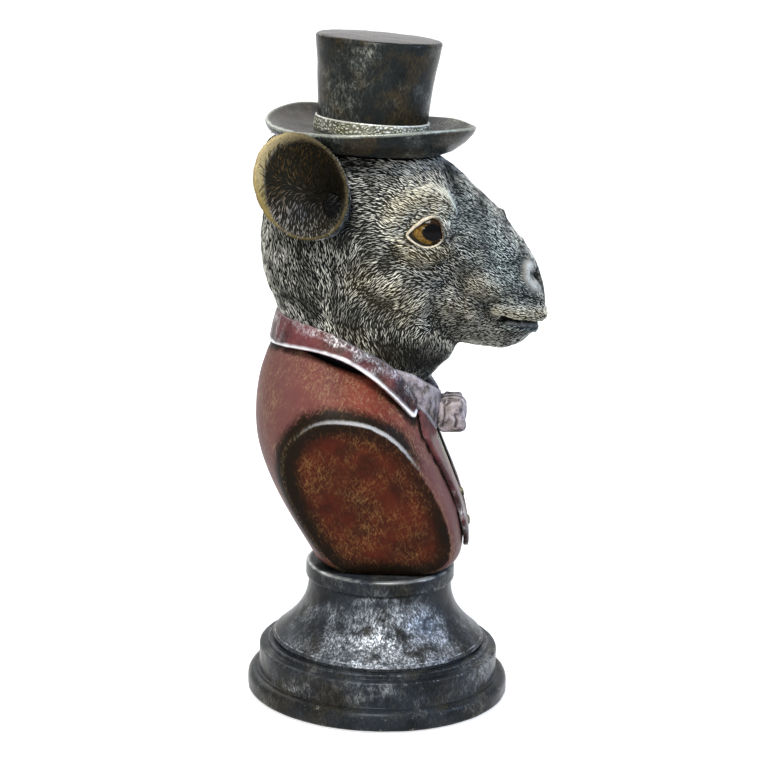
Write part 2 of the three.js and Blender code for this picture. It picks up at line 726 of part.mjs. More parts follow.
function bothSides(rows) {
  const mirrored = rows.slice(1).map((row) => row.map((v, k) => (k === 1 || k === 4 ? -v : v)));
  return [...mirrored.reverse(), ...rows];
}

// Neck band of the bow tie, from under one side of the collar round the throat to the other.
// Heights are above the neck's seat.
const bandDrawing = [
  [33.6, 0, -19, 33, 0, -43],
  [32.2, 9, -17, 32, 10, -42],
  [29.5, 18, -13, 29.2, 20, -37],
  [25, 26.5, -8, 24.5, 28, -29],
  [18, 34, -3, 17, 35.5, -20],
  [8.5, 39.5, 1, 8, 40.5, -12],
  [-2, 42.5, 4, -2, 43, -4],
];

// A drawing of a strip round the neck, stretched as the neck is, mirrored, and lifted to the neck's seat
function roundNeck(drawing) {
  const rows = bothSides(fitted(drawing, 'fsufsu', neckStretch));
  return rows.map(([a, b, c, d, e, f]) => [a, b, c + seatUp, d, e, f + seatUp]);
}

const jacketRoom = withoutArms(jacketForm(glueGap), -glueGap);

function bandForm(grow) {
  return stripForm(roundNeck(bandDrawing), bandThickness, bandThickness + bandRootDepth, grow, bandRings);
}

const neckBand = largestOf(bandForm(0).subtract(headRoom).subtract(jacketRoom));
addPiece('neck_band', geometryOf(neckBand), bowMauve);

// Jacket collar, from one notch round the back of the neck to the other
const collarDrawing = [
  [-65.2, 0, 28.6, -69.6, 0, 8.5],
  [-61, 18, 28.2, -65.5, 20, 10],
  [-50.5, 31, 27.5, -56.5, 34, 11.5],
  [-38.5, 38.5, 25.7, -44, 43, 11.8],
  [-27, 42, 21.7, -32, 48, 10],
  [-15, 43.5, 14.7, -20, 50.5, 6],
  [-3.4, 43.5, 8.7, -8, 51, -1],
  [6, 42, 2.5, 3, 49.5, -10],
  [14.5, 38.5, -6.5, 12, 45.5, -19.5],
  [20, 34.5, -16, 18.5, 40.5, -28],
];

function collarForm(grow) {
  const rootDepth = collarThickness + collarRootDepth;
  return stripForm(roundNeck(collarDrawing), collarThickness, rootDepth, grow, collarRings);
}

const collarCuts = [headRoom, jacketRoom, bandForm(glueGap)];
const collar = collarCuts.reduce((strip, cut) => strip.subtract(cut), collarForm(0));
addPiece('jacket_collar', geometryOf(largestOf(collar)), lapelPlum);

// Pieces of the chest lie on the jacket's form: each is cut out of a shell round it by a front outline
// of side and height above the column.
function chestPiece(outline, from, to, handed) {
  const corners = outline.map(([side, up]) => new THREE.Vector2(side * handed, up + columnTop));
  const shape = new THREE.Shape(corners);
  const block = new THREE.ExtrudeGeometry(shape, { depth: cutterSize, bevelEnabled: false });
  block.rotateX(Math.PI / 2);
  const shell = jacketForm(to).subtract(jacketForm(from));
  return shell.intersect(solidOf(block));
}

// An outline moved outwards by so much, square to the line between each corner's neighbours
function outset(outline, by) {
  const points = outline.map(([side, up]) => new THREE.Vector2(side, up));
  const outwards = THREE.ShapeUtils.isClockWise(points) ? -by : by;
  return points.map((point, i) => {
    const before = points[(i + points.length - 1) % points.length];
    const after = points[(i + 1) % points.length];
    const along = after.clone().sub(before).setLength(outwards);
    return [point.x + along.y, point.y - along.x];
  });
}

const waistcoatDrawing = [
  [0, 52], [8, 68], [15, 86], [18, 97], [22, 95], [21, 82], [18.5, 64], [15, 49], [12, 34], [8, 21],
  [0, 13], [-8, 21], [-12, 34], [-15, 49], [-18.5, 64], [-21, 82], [-22, 95], [-18, 97], [-15, 86],
  [-8, 68],
];
const shirtDrawing = [
  [0, 46], [12, 72], [19.5, 94], [20, 108], [0, 109], [-20, 108], [-19.5, 94], [-12, 72],
];
const lapelDrawing = [
  [4.8, 15], [4.6, 24], [4.8, 34], [5.6, 44], [7.4, 56], [11, 74], [15, 94], [17.5, 111], [24, 110],
  [29, 106], [32, 99], [34.5, 93], [36.5, 87], [33.5, 79.5], [30.5, 71], [27.5, 62], [25.5, 53], [24, 45],
  [23, 37], [22, 30], [19, 22], [14, 16], [9, 13],
];
const waistcoatOutline = fitted(waistcoatDrawing, 'su', bustStretch);
const shirtOutline = fitted(shirtDrawing, 'su', bustStretch);
const lapelOutline = fitted(lapelDrawing, 'su', bustStretch);
const waistcoat = largestOf(chestPiece(waistcoatOutline, glueGap, waistcoatThickness, 1)
  .subtract(bandForm(glueGap)));
addPiece('waistcoat', geometryOf(waistcoat), waistcoatGold);
const waistcoatRoom = chestPiece(outset(waistcoatOutline, glueGap), 0, waistcoatThickness + glueGap, 1);
const shirt = largestOf(chestPiece(shirtOutline, glueGap, shirtThickness, 1)
  .subtract(waistcoatRoom)
  .subtract(bandForm(glueGap))
  .subtract(headRoom));
addPiece('shirt_front', geometryOf(shirt), shirtIvory);
const shirtRoom = chestPiece(outset(shirtOutline, glueGap), 0, shirtThickness + glueGap, 1);
[['lapel_left', 1], ['lapel_right', -1]].forEach(([name, side]) => {
  const lapel = chestPiece(lapelOutline, glueGap, lapelThickness, side)
    .subtract(waistcoatRoom)
    .subtract(shirtRoom)
    .subtract(collarForm(glueGap))
    .subtract(bandForm(glueGap))
    .subtract(headRoom);
  addPiece(name, geometryOf(largestOf(lapel)), lapelPlum);
});

// Buttons down the waistcoat, each square to the chest where it sits
const frontLine = smoothRows(jacketRows, 200).map((row) => [row[2], row[3]]);

function chestAt(up) {
  const next = frontLine.findIndex((p) => p[1] > up);
  const [before, after] = [frontLine[next - 1], frontLine[next]];
  const share = (up - before[1]) / (after[1] - before[1]);
  const lean = Math.atan2(after[0] - before[0], after[1] - before[1]);
  return { forward: before[0] + share * (after[0] - before[0]), lean };
}

for (let i = 0; i < buttonCount; i++) {
  const up = firstButtonUp * bustStretch.u - i * buttonPitch;
  const { forward, lean } = chestAt(up);
  const outline = [
    [0, 0],
    [buttonRadius, 0],
    [buttonRadius, buttonHeight * 0.45],
    [buttonRadius * 0.72, buttonHeight * 0.85],
    [0, buttonHeight],
  ];
  const button = new THREE.LatheGeometry(outline.map(([r, h]) => new THREE.Vector2(r, h)), 16);
  button.translate(0, waistcoatThickness + glueGap, 0);
  const mesh = addPiece(`waistcoat_button_${i + 1}`, button, brassButton);
  mesh.rotation.x = Math.PI + lean;
  mesh.position.copy(at(forward, 0, up + columnTop));
}

// Bow tie: a knot over the neck band, and a puffed wing on each side that flares outwards
const knotUp = seatUp - knotDrop;
const bowFullness = 0.75;
// Rings of the knot: how far out as a share of its half width, then its half depth and half height
const knotRings = [
  [-1, 7, 9.4], [-0.5, 8.3, 10.6], [0, 8.6, 11], [0.5, 8.3, 10.6], [1, 7, 9.4],
];
// Rings of a wing: how far out as a share of its reach, then its place forward and up from the knot, its
// half depth and its half height
const wingRows = [
  [0.15, 0, 0, 5.6, 8.6], [0.42, 0, 0, 7.2, 9.8], [0.66, 0, 0, 7.8, 10.2], [0.85, 0, -0.2, 7.4, 9.8],
  [0.96, 0, -0.3, 6.4, 8.8], [1, 0, -0.3, 4.8, 7],
];

function oval(side, forward, up, halfDepth, halfHeight) {
  return Array.from({ length: bowSteps }, (_, j) => {
    const turn = (j / bowSteps) * Math.PI * 2;
    const ahead = halfDepth * rounded(Math.cos(turn), bowFullness);
    const rise = halfHeight * rounded(Math.sin(turn), bowFullness);
    return at(forward + ahead, side, up + rise);
  });
}

function knotForm(grow) {
  const rings = knotRings.map(([share, depth, height]) => {
    const side = share * knotHalfWidth + Math.sign(share) * grow;
    return oval(side, knotForward, knotUp, depth + grow, height + grow);
  });
  return solidOf(skin(rings));
}

addPiece('bow_knot', geometryOf(largestOf(knotForm(0).subtract(bandForm(glueGap)))), bowMauve);
[['bow_wing_left', 1], ['bow_wing_right', -1]].forEach(([name, side]) => {
  const rings = smoothRows(wingRows, 8).map(([share, forward, up, depth, height]) => {
    return oval(side * share * bowReach, knotForward + forward, knotUp + up, depth, height);
  });
  const wing = solidOf(skin(rings)).subtract(knotForm(glueGap)).subtract(bandForm(glueGap));
  addPiece(name, geometryOf(largestOf(wing)), bowMauve);
});

// Hat brim, with the crown's seat on its upper face
const crownSeat = brimThickness;
const brimOutline = [
  [boreOfDowel, 0],
  ...brimUnderside,
  [brimRadius - rimEdge * 0.4, brimCurl + rimEdge],
  [brimRadius - rimThickness, brimCurl],
  [crownFootRadius + brimReach * 0.5, crownSeat + rimEdge],
  [crownFootRadius + brimReach * 0.2, crownSeat],
  [boreOfDowel, crownSeat],
];
addPiece('hat_brim', brimWarp(turned(brimOutline)), gunmetal, hatGroup);

// Hat crown: a shell that flares upwards, with a slightly domed lid
const crownFoot = crownSeat + glueGap;
const crownTop = crownFoot + crownHeight;
const crownFlare = crownTopRadius - crownFootRadius;
const lowerFlare = crownFlare * 0.16;
const lowerRise = crownHeight * 0.3;
const crownOutline = [
  [crownFootRadius, crownFoot],
  [crownFootRadius + lowerFlare, crownFoot + lowerRise],
  [crownFootRadius + crownFlare * 0.48, crownFoot + crownHeight * 0.65],
  ...arc(crownTopRadius - crownEdge, crownTop - crownEdge, crownEdge, 0, 90, 3),
  [0, crownTop + lidRise],
  [0, crownTop - crownWall],
  [crownTopRadius - crownWall - crownEdge * 0.5, crownTop - crownWall],
  [crownFootRadius - crownWall, crownFoot],
];
addPiece('hat_crown', turned(crownOutline), gunmetal, hatGroup);

// Hat band, round the foot of the crown
const bandInner = crownFootRadius + lowerFlare * (bandHeight / lowerRise) + glueGap;
const hatBandOutline = [
  [crownFootRadius + glueGap, crownFoot],
  [crownFootRadius + bandProud, crownFoot],
  [bandInner + bandProud, crownFoot + bandHeight * 0.5],
  [bandInner + bandProud - bandEdge, crownFoot + bandHeight],
  [bandInner, crownFoot + bandHeight],
];
addPiece('hat_band', turned(hatBandOutline), waistcoatGold, hatGroup);

// Dowel that locates the hat on the head
const dowelLength = dowelDepth + brimThickness - glueGap * 3;
const dowel = new THREE.CylinderGeometry(dowelRadius, dowelRadius, dowelLength, 16).rotateX(Math.PI / 2);
dowel.translate(0, 0, dowelLength / 2 - dowelDepth + glueGap);
addPiece('hat_dowel', dowel, beechWood, hatGroup);

export default root;
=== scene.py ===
"""A goat's bust in a top hat, tailcoat and bow tie, cast in painted resin, on its turned pedestal."""
import math

import bmesh
import bpy
import numpy as np
from mathutils import Euler, Matrix, Vector, noise
from mathutils.bvhtree import BVHTree
from mathutils.kdtree import KDTree


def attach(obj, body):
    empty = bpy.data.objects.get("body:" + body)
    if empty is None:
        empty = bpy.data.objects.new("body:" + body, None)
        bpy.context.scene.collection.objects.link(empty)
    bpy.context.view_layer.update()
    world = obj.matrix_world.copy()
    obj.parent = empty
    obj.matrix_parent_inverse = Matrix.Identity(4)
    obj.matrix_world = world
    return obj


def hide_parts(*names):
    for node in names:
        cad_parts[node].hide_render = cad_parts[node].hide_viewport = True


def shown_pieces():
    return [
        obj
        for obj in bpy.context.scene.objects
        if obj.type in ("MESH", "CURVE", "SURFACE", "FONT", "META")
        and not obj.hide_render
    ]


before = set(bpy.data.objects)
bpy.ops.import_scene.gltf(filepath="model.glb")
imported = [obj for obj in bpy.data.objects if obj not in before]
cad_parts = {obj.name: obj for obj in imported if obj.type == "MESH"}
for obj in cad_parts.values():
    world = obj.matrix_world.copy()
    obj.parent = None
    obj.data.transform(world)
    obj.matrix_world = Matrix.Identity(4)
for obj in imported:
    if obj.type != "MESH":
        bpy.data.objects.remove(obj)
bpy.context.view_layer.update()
MM = 0.001
rng = np.random.default_rng(11)

# Places that the solids share, in millimetres: the goat looks along -Y
COLUMN_TOP, NECK_SEAT = 82.0, 208.75
EYE_FORWARD, EYE_SIDE, EYE_UP, EYE_RADIUS = 22.8, 32.0, NECK_SEAT + 83, 12.0
CUT_FOOT, CUT_LEAN = 33.0, math.radians(15.7)
BOW_FORWARD, BOW_UP = 41.3, 180
HAT_PLACE = (0, 12.8, NECK_SEAT + 131.5 - 8.9)
HAT_TILT, HAT_ROLL = math.radians(3.4), math.radians(2.3)
HAT_FRAME = Matrix.Translation(HAT_PLACE) @ Euler((HAT_TILT, HAT_ROLL, 0)).to_matrix().to_4x4()

# Camera, at the photograph's side
CAMERA_PLACE, CAMERA_LENS = (-1.514, 0.0007, 0.5835), 123.3
PITCH, ROLL = math.radians(14.53), math.radians(1.6)
ahead = Vector((math.cos(PITCH), 0, -math.sin(PITCH)))
level = Vector((0, -1, 0))
above = Vector((math.sin(PITCH), 0, math.cos(PITCH)))
right = level * math.cos(ROLL) + above * math.sin(ROLL)
upward = -level * math.sin(ROLL) + above * math.cos(ROLL)
camera_data = bpy.data.cameras.new("camera")
camera_data.lens = CAMERA_LENS
camera_data.sensor_width = 36
camera = bpy.data.objects.new("camera", camera_data)
camera_turn = Matrix((right, upward, -ahead)).transposed().to_4x4()
camera.matrix_world = Matrix.Translation(CAMERA_PLACE) @ camera_turn
bpy.context.scene.collection.objects.link(camera)
bpy.context.scene.camera = camera
bpy.context.scene.view_settings.view_transform = "Standard"


# Pieces
def new_piece(name, mesh, material, slot, *nodes):
    """A smooth piece on the part's body, in place of the solids that it names."""
    piece = bpy.data.objects.new(name, mesh)
    bpy.context.scene.collection.objects.link(piece)
    mesh.materials.clear()
    mesh.materials.append(material)
    mesh.shade_smooth()
    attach(piece, "root")
    if nodes:
        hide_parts(*nodes)
    return piece


def mesh_of(bm, name):
    """Ends a bmesh that was made in millimetres."""
    bmesh.ops.remove_doubles(bm, verts=bm.verts, dist=1e-4)
    bmesh.ops.recalc_face_normals(bm, faces=bm.faces)
    bmesh.ops.scale(bm, vec=(MM, MM, MM), verts=bm.verts)
    mesh = bpy.data.meshes.new(name)
    bm.to_mesh(mesh)
    bm.free()
    return mesh


def arc(radius, height, bend, start, end, steps):
    """Points on a rounded edge of a turned outline, from one angle to another in degrees."""
    turns = [math.radians(start + (end - start) * i / steps) for i in range(steps + 1)]
    return [(radius + bend * math.cos(t), height + bend * math.sin(t)) for t in turns]


def turned(outline, steps):
    """A closed form turned about Z from its outline of radius and height."""
    bm = bmesh.new()
    points = [bm.verts.new((radius, 0, height)) for radius, height in outline]
    edges = [bm.edges.new(pair) for pair in zip(points, points[1:])]
    bmesh.ops.spin(bm, geom=points + edges, cent=(0, 0, 0), axis=(0, 0, 1), angle=math.tau,
                   steps=steps, use_merge=True, use_duplicate=False)
    bmesh.ops.remove_doubles(bm, verts=bm.verts, dist=1e-3)
    return bm


def spaced(outline, pitch):
    """The outline with more points on its long stretches."""
    made = [outline[0]]
    for a, b in zip(outline, outline[1:]):
        count = max(1, round(math.dist(a, b) / pitch))
        made += [(a[0] + (b[0] - a[0]) * i / count, a[1] + (b[1] - a[1]) * i / count)
                 for i in range(1, count + 1)]
    return made


def places_of(mesh):
    flat = np.empty(len(mesh.vertices) * 3)
    mesh.vertices.foreach_get("co", flat)
    return flat.reshape(-1, 3) / MM


def set_places(mesh, places):
    mesh.vertices.foreach_set("co", (places * MM).ravel())
    mesh.update()


def normals_of(mesh):
    flat = np.empty(len(mesh.vertices) * 3)
    mesh.vertex_normals.foreach_get("vector", flat)
    return flat.reshape(-1, 3)


def edges_of(mesh):
    flat = np.empty(len(mesh.edges) * 2, np.int64)
    mesh.edges.foreach_get("vertices", flat)
    return flat.reshape(-1, 2)


def averaged(values, edges, rounds=1):
    """Each point's value as the mean of its neighbours', so many times over."""
    count = len(values)
    valence = np.bincount(edges.ravel(), minlength=count)
    columns = values.reshape(count, -1)
    for _ in range(rounds):
        totals = np.empty_like(columns)
        for k in range(columns.shape[1]):
            totals[:, k] = (np.bincount(edges[:, 0], columns[edges[:, 1], k], count)
                            + np.bincount(edges[:, 1], columns[edges[:, 0], k], count))
        columns = 0.5 * columns + 0.5 * totals / np.maximum(valence, 1)[:, None]
    return columns.reshape(values.shape)


def keep_values(mesh, name, values):
    """Keeps a number or a colour at each point, for the finishes to read."""
    kind = "FLOAT" if values.ndim == 1 else "FLOAT_COLOR"
    layer = mesh.attributes.new(name, kind, "POINT")
    layer.data.foreach_set("value" if values.ndim == 1 else "color", values.astype(np.float32).ravel())


def smooth_step(low, high, value):
    share = np.clip((value - low) / (high - low), 0, 1)
    return share * share * (3 - 2 * share)


def lumps(places, pitch, seed, depth=3):
    """Soft noise from -1 to 1 with features about so many millimetres across."""
    move = Vector((seed * 7.3, seed * 3.1, seed * 5.7))
    return np.array([noise.fractal(Vector(p) / pitch + move, 0.8, 2.1, depth) for p in places])


def keep_wear(piece, scale=0.12, fine=1, broad=8):
    """Keeps how much each point stands out of its surroundings, where paint is rubbed through, and sinks in,
    where it is darkened as painted shade.
    """
    mesh = piece.data
    places, normals, edges = places_of(mesh), normals_of(mesh), edges_of(mesh)
    proud = ((averaged(places, edges, fine) - averaged(places, edges, broad)) * normals).sum(1)
    keep_values(mesh, "wear", np.clip(0.5 + 0.5 * proud / scale, 0, 1))


def even_out(piece, voxel, rounds):
    """Gives a piece even faces, and smooths it so many times."""
    remesh = piece.modifiers.new("even faces", "REMESH")
    remesh.mode = "VOXEL"
    remesh.voxel_size = voxel * MM
    smooth = piece.modifiers.new("soft facets", "SMOOTH")
    smooth.factor = 0.5
    smooth.iterations = rounds
    bpy.context.view_layer.update()
    even = bpy.data.meshes.new_from_object(piece.evaluated_get(bpy.context.evaluated_depsgraph_get()))
    even.name = piece.name
    piece.modifiers.clear()
    old = piece.data
    piece.data = even
    bpy.data.meshes.remove(old)
    even.shade_smooth()


def form_of(piece):
    """A piece's surface, for rays."""
    return BVHTree.FromObject(piece, bpy.context.evaluated_depsgraph_get())


def evened_copy(name, node, voxel, rounds, material, slot):
    """A copy of a solid with even faces, whose facets are smoothed away."""
    bm = bmesh.new()
    bm.from_mesh(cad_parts[node].data)
    bmesh.ops.remove_doubles(bm, verts=bm.verts, dist=1e-6)
    mesh = bpy.data.meshes.new(name + "_source")
    bm.to_mesh(mesh)
    bm.free()
    piece = new_piece(name, mesh, material, slot, node)
    even_out(piece, voxel, rounds)
    return piece


# Finishes
class Signal:
    """A value in a node tree, which takes part in sums."""

    def __init__(self, tree, socket):
        self.tree, self.socket = tree, socket

    def __add__(self, other):
        return self.tree.math("ADD", self, other)

    def __sub__(self, other):
        return self.tree.math("SUBTRACT", self, other)

    def __rsub__(self, other):
        return self.tree.math("SUBTRACT", other, self)

    def __mul__(self, other):
        return self.tree.math("MULTIPLY", self, other)

    def __abs__(self):
        return self.tree.math("ABSOLUTE", self)


class Tree:
    """The nodes of a finish or of the world's light."""

    def __init__(self, node_tree):
        self.nodes, self.links = node_tree.nodes, node_tree.links
        self.nodes.clear()

    def put(self, socket, value):
        if isinstance(value, Signal):
            self.links.new(value.socket, socket)
        elif isinstance(value, tuple):
            socket.default_value = (*value, 1)
        else:
            socket.default_value = value

    def node(self, kind, inputs=(), **settings):
        """A new node with its settings and its inputs, by name or number."""
        made = self.nodes.new("ShaderNode" + kind)
        for name, value in settings.items():
            setattr(made, name, value)
        for name, value in dict(inputs).items():
            self.put(made.inputs[name], value)
        return made

    def output(self, node, name):
        return Signal(self, node.outputs[name])

    def math(self, operation, a, b=0.0):
        return self.output(self.node("Math", {0: a, 1: b}, operation=operation), "Value")

    def most(self, first, *others):
        for other in others:
            first = self.math("MAXIMUM", first, other)
        return first

    def step(self, value, low, high, reach=(0, 1)):
        inputs = {"Value": value, "From Min": low, "From Max": high, "To Min": reach[0], "To Max": reach[1]}
        return self.output(self.node("MapRange", inputs, interpolation_type="SMOOTHSTEP"), "Result")

    def mix(self, factor, a, b):
        """One colour laid over another."""
        return self.output(self.node("Mix", {6: a, 7: b, "Factor": factor}, data_type="RGBA"), 2)

    def blend(self, factor, a, b):
        """A number between two others."""
        return self.output(self.node("Mix", {"Factor": factor, 2: a, 3: b}), 0)

    def attribute(self, name, part="Fac"):
        return self.output(self.node("Attribute", attribute_name=name), part)

    def places(self):
        return self.output(self.node("TexCoord"), "Object")

    def split(self, value, kind="Color"):
        """The three parts of a colour, or of a place with kind XYZ."""
        node = self.node("Separate" + kind, {0: value})
        return [Signal(self, output) for output in node.outputs]


class Paint(Tree):
    """A paint finish, which reads the piece's own coordinates."""

    def __init__(self, name):
        self.material = bpy.data.materials.new(name)
        self.material.use_nodes = True
        super().__init__(self.material.node_tree)
        self.place = self.places()

    def mapped(self, seed, turned_by=(0, 0, 0)):
        """The piece's coordinates, moved by a seed and turned by angles in degrees."""
        mapping = self.node("Mapping", {"Vector": self.place})
        mapping.inputs["Location"].default_value = (seed, seed * 0.7, seed * 1.3)
        mapping.inputs["Rotation"].default_value = [math.radians(a) for a in turned_by]
        return self.output(mapping, "Vector")

    def noise(self, size, detail=3.0, rough=0.55, stretch=(1, 1, 1), turned_by=(0, 0, 0),
              seed=0.0, wave=0.0):
        """Noise with features about so many millimetres across, longer where stretch is above 1."""
        squeeze = self.node("VectorMath", {0: self.mapped(seed, turned_by)}, operation="MULTIPLY")
        squeeze.inputs[1].default_value = [1 / s for s in stretch]
        inputs = {"Vector": self.output(squeeze, "Vector"), "Scale": 1 / MM / size, "Detail": detail,
                  "Roughness": rough, "Distortion": wave}
        return self.output(self.node("TexNoise", inputs), "Fac")

    def cell_edges(self, size):
        """How far each place is from the edge of its cell, in cells so many millimetres across."""
        inputs = {"Vector": self.mapped(0.0), "Scale": 1 / MM / size}
        return self.output(self.node("TexVoronoi", inputs, feature="DISTANCE_TO_EDGE"), "Distance")

    def strokes(self, width, length, low, high, seed=0.0):
        """Short brush strokes, most of them near upright, from 0 to 1."""
        turns = [(0, 90, 0), (0, 66, 20), (0, 114, -20), (30, 90, 0), (-30, 90, 0)]
        layers = [self.noise(width, 2, 0.5, (length / width, 1, 1), angles, seed + i * 3.7, 0.2)
                  for i, angles in enumerate(turns)]
        return self.most(*(self.step(layer, low, high) for layer in layers))

    def bump(self, height, depth):
        """Relief of so many millimetres from a height between 0 and 1."""
        inputs = {"Strength": 1.0, "Distance": depth * MM, "Height": height}
        return self.output(self.node("Bump", inputs), "Normal")

    def finish(self, colour, roughness, metallic=0.0, normal=None, specular=0.5):
        inputs = {"Base Color": colour, "Roughness": roughness, "Metallic": metallic,
                  "Specular IOR Level": specular}
        if normal:
            inputs["Normal"] = normal
        shader = self.output(self.node("BsdfPrincipled", inputs), "BSDF")
        self.node("OutputMaterial", {"Surface": shader})
        return self.material


def rubbed_paint(name, dark, mid, rub, tint, rub_amount=0.9, tint_amount=0.4, stroke=(1.5, 8.0),
                 sharp=(0.52, 0.66), patch=26, bare=(0.45, 0.62), veil=0.2, edge=0.7, dull=None,
                 crackle=0.0, metal=0.5, rough=(0.34, 0.3), seed=0.0):
    """Paint brushed over a dark ground in strokes and patches, and rubbed through where the form stands out.

    The mesh can say where: wear is how far a point stands out, rubbed through on edges and darker as painted
    shade in hollows, rubbed adds patches or makes them dull, quiet is a plain grey painted reflection free
    of strokes, crack is dark and bead is bright.
    """
    paint = Paint(name)
    broad = paint.noise(patch, 4, 0.6, seed=seed)
    other = paint.noise(patch * 0.7, 3, 0.6, seed=seed + 11)
    coarse = paint.noise(patch * 0.3, 3, 0.6, seed=seed + 31)
    fine = paint.noise(0.9, 3, 0.7, seed=seed + 5)
    strokes = paint.strokes(*stroke, *sharp, seed)
    wear, rubbed, painted_sheen, cracks, bead = [
        paint.attribute(part) for part in ("wear", "rubbed", "painted_sheen", "crack", "bead")]

    ground = paint.mix(paint.step(broad, 0.38, 0.66), dark, mid)
    tinted = paint.step(other, 0.46, 0.62) * (paint.blend(strokes, 0.3, 1.0) * tint_amount)
    ground = paint.mix(tinted, ground, tint)
    # Painted shade: the ground darkens where the form sinks in
    ground = paint.mix(paint.step(wear, 0.45, 0.1) * 0.85, ground, dark)
    # Where quiet says, a plain grey stands in for light reflected by up-facing faces: a painted reflection
    ground = paint.mix(painted_sheen, ground, (0.085, 0.078, 0.075))

    clusters = paint.noise(patch, 4, 0.55, seed=seed + 23) + rubbed * 0.3
    clusters = paint.step(clusters, *bare) * paint.step(coarse, 0.3, 0.65) * 0.96 + 0.04
    flecks = strokes * paint.step(fine, 0.22, 0.62)
    amount = paint.most(flecks, paint.step(fine, 0.2, 0.8) * veil) * (clusters * rub_amount)
    worn = paint.step(wear + (fine - 0.5) * 0.6, 0.72, 1.0) * edge
    amount = paint.most(amount * (1 - painted_sheen * 0.85), worn, bead * 0.95)
    if crackle:
        crazed = paint.step(paint.cell_edges(crackle), 0.07, 0.0) * paint.step(coarse, 0.4, 0.6)
        cracks = paint.most(cracks, crazed * 0.6)
    rub_tone = paint.mix(paint.step(rubbed, -0.6, -0.1), dull or rub, rub)
    colour = paint.mix(cracks * 0.85, paint.mix(amount, ground, rub_tone), dark)
    height = amount + fine * 0.6 - cracks
    return paint.finish(colour, paint.blend(amount, *rough), amount * metal, paint.bump(height, 0.1), 0.08)


# Each rubbed finish: its name, dark and middle ground, rubbed colour and tint, then how it is brushed
pedestal_paint = rubbed_paint(
    "pedestal gunmetal", (0.004, 0.005, 0.006), (0.014, 0.018, 0.024), (0.66, 0.71, 0.77),
    (0.050, 0.040, 0.022),
    1.0, 0.45, (1.6, 6.5), (0.5, 0.74), bare=(0.33, 0.72), veil=0.3, edge=0.85, dull=(0.40, 0.38, 0.30),
    metal=0.9, rough=(0.28, 0.32), seed=1.0)
hat_paint = rubbed_paint(
    "hat gunmetal", (0.004, 0.005, 0.005), (0.009, 0.011, 0.011), (0.36, 0.38, 0.33), (0.065, 0.042, 0.013),
    0.8, 0.55, (1.2, 6.0), (0.5, 0.74), bare=(0.42, 0.7), edge=0.8, metal=0.8, rough=(0.26, 0.32), seed=4.0)
plum_paint = rubbed_paint(
    "collar plum", (0.014, 0.006, 0.007), (0.13, 0.034, 0.036), (0.80, 0.80, 0.83), (0.13, 0.055, 0.035),
    0.9, 0.5, (1.4, 7.0), (0.5, 0.74), 24, edge=0.15, metal=0.8, seed=12.0)
gold_paint = rubbed_paint(
    "old gold", (0.016, 0.013, 0.006), (0.13, 0.11, 0.05), (0.60, 0.52, 0.32), (0.06, 0.07, 0.035),
    0.6, 0.5, (1.3, 5.0), patch=14, seed=15.0)
scale_paint = rubbed_paint(
    "hat band silver gold", (0.03, 0.029, 0.016), (0.20, 0.20, 0.12), (0.84, 0.85, 0.78), (0.14, 0.15, 0.06),
    0.9, 0.6, (1.3, 3.0), patch=18, bare=(0.4, 0.7), edge=0.55, metal=0.6, seed=16.0)
ivory_paint = rubbed_paint(
    "shirt off-white", (0.06, 0.055, 0.05), (0.40, 0.37, 0.32), (0.62, 0.58, 0.52), (0.2, 0.17, 0.14),
    0.5, 0.4, (1.4, 6.0), patch=12, metal=0.1, seed=17.0)
mauve_paint = rubbed_paint(
    "bow mauve", (0.03, 0.022, 0.020), (0.43, 0.36, 0.38), (0.66, 0.62, 0.64), (0.30, 0.25, 0.20),
    0.5, 0.6, (1.2, 4.0), patch=9, edge=0.35, crackle=2.2, metal=0.1, seed=19.0)


def jacket_paint():
    """Rose red over black, with gold brush strokes, painted black shade, and a painted silver highlight
    along the cut's upper edge.
    """
    paint = Paint("jacket rust red")
    x, _, z = paint.split(paint.place, "XYZ")
    depth_in = ((z - COLUMN_TOP * MM) * (math.sin(CUT_LEAN) / MM)
                - (abs(x) - CUT_FOOT * MM) * (math.cos(CUT_LEAN) / MM))
    cut_face = paint.step(depth_in, 1.3, 0.6)
    shade_in, shade, silver = paint.split(paint.attribute("cloth", "Color"))
    mauve = paint.attribute("cloth", "Alpha")
    broad = paint.noise(34, 4, 0.6, seed=8.0)
    other = paint.noise(18, 4, 0.65, seed=3.0)
    fine = paint.noise(1.3, 4, 0.7, seed=5.0)
    strokes = paint.strokes(1.3, 7.0, 0.54, 0.78, 2.0)

    rose = paint.mix(paint.step(broad, 0.35, 0.65), (0.105, 0.022, 0.016), (0.19, 0.042, 0.028))
    rose = paint.mix(mauve, rose, (0.14, 0.062, 0.060))
    rust = paint.mix(paint.step(other, 0.32, 0.66), (0.035, 0.010, 0.006), (0.085, 0.016, 0.008))
    ground = paint.mix(cut_face, rose, rust)
    clusters = paint.step(paint.noise(22, 4, 0.6, seed=33.0), 0.36, 0.62)
    flecks = strokes * (clusters * paint.blend(cut_face, 0.55, 0.75))
    ground = paint.mix(flecks, ground, paint.mix(cut_face, (0.36, 0.25, 0.13), (0.25, 0.125, 0.045)))
    uneven = paint.blend(cut_face, shade, shade_in) + (other - 0.5) * 0.7 - strokes * 0.22
    ground = paint.mix(paint.step(uneven, 0.1, 0.9), ground, (0.010, 0.006, 0.0035))
    edge = paint.step(depth_in, 3.4, 1.2) * (1 - cut_face)
    ground = paint.mix(edge * (strokes * 0.55), ground, (0.20, 0.14, 0.07))
    # A painted silver highlight along the cut's upper edge
    bright = paint.step(edge * silver + (fine - 0.5) * 0.5, 0.25, 1.05) * 0.75
    colour = paint.mix(bright, ground, (0.55, 0.55, 0.56))
    relief = paint.bump(flecks + fine * 0.6, 0.1)
    return paint.finish(colour, paint.blend(cut_face, 0.42, 0.5), bright * 0.5, relief, 0.05)


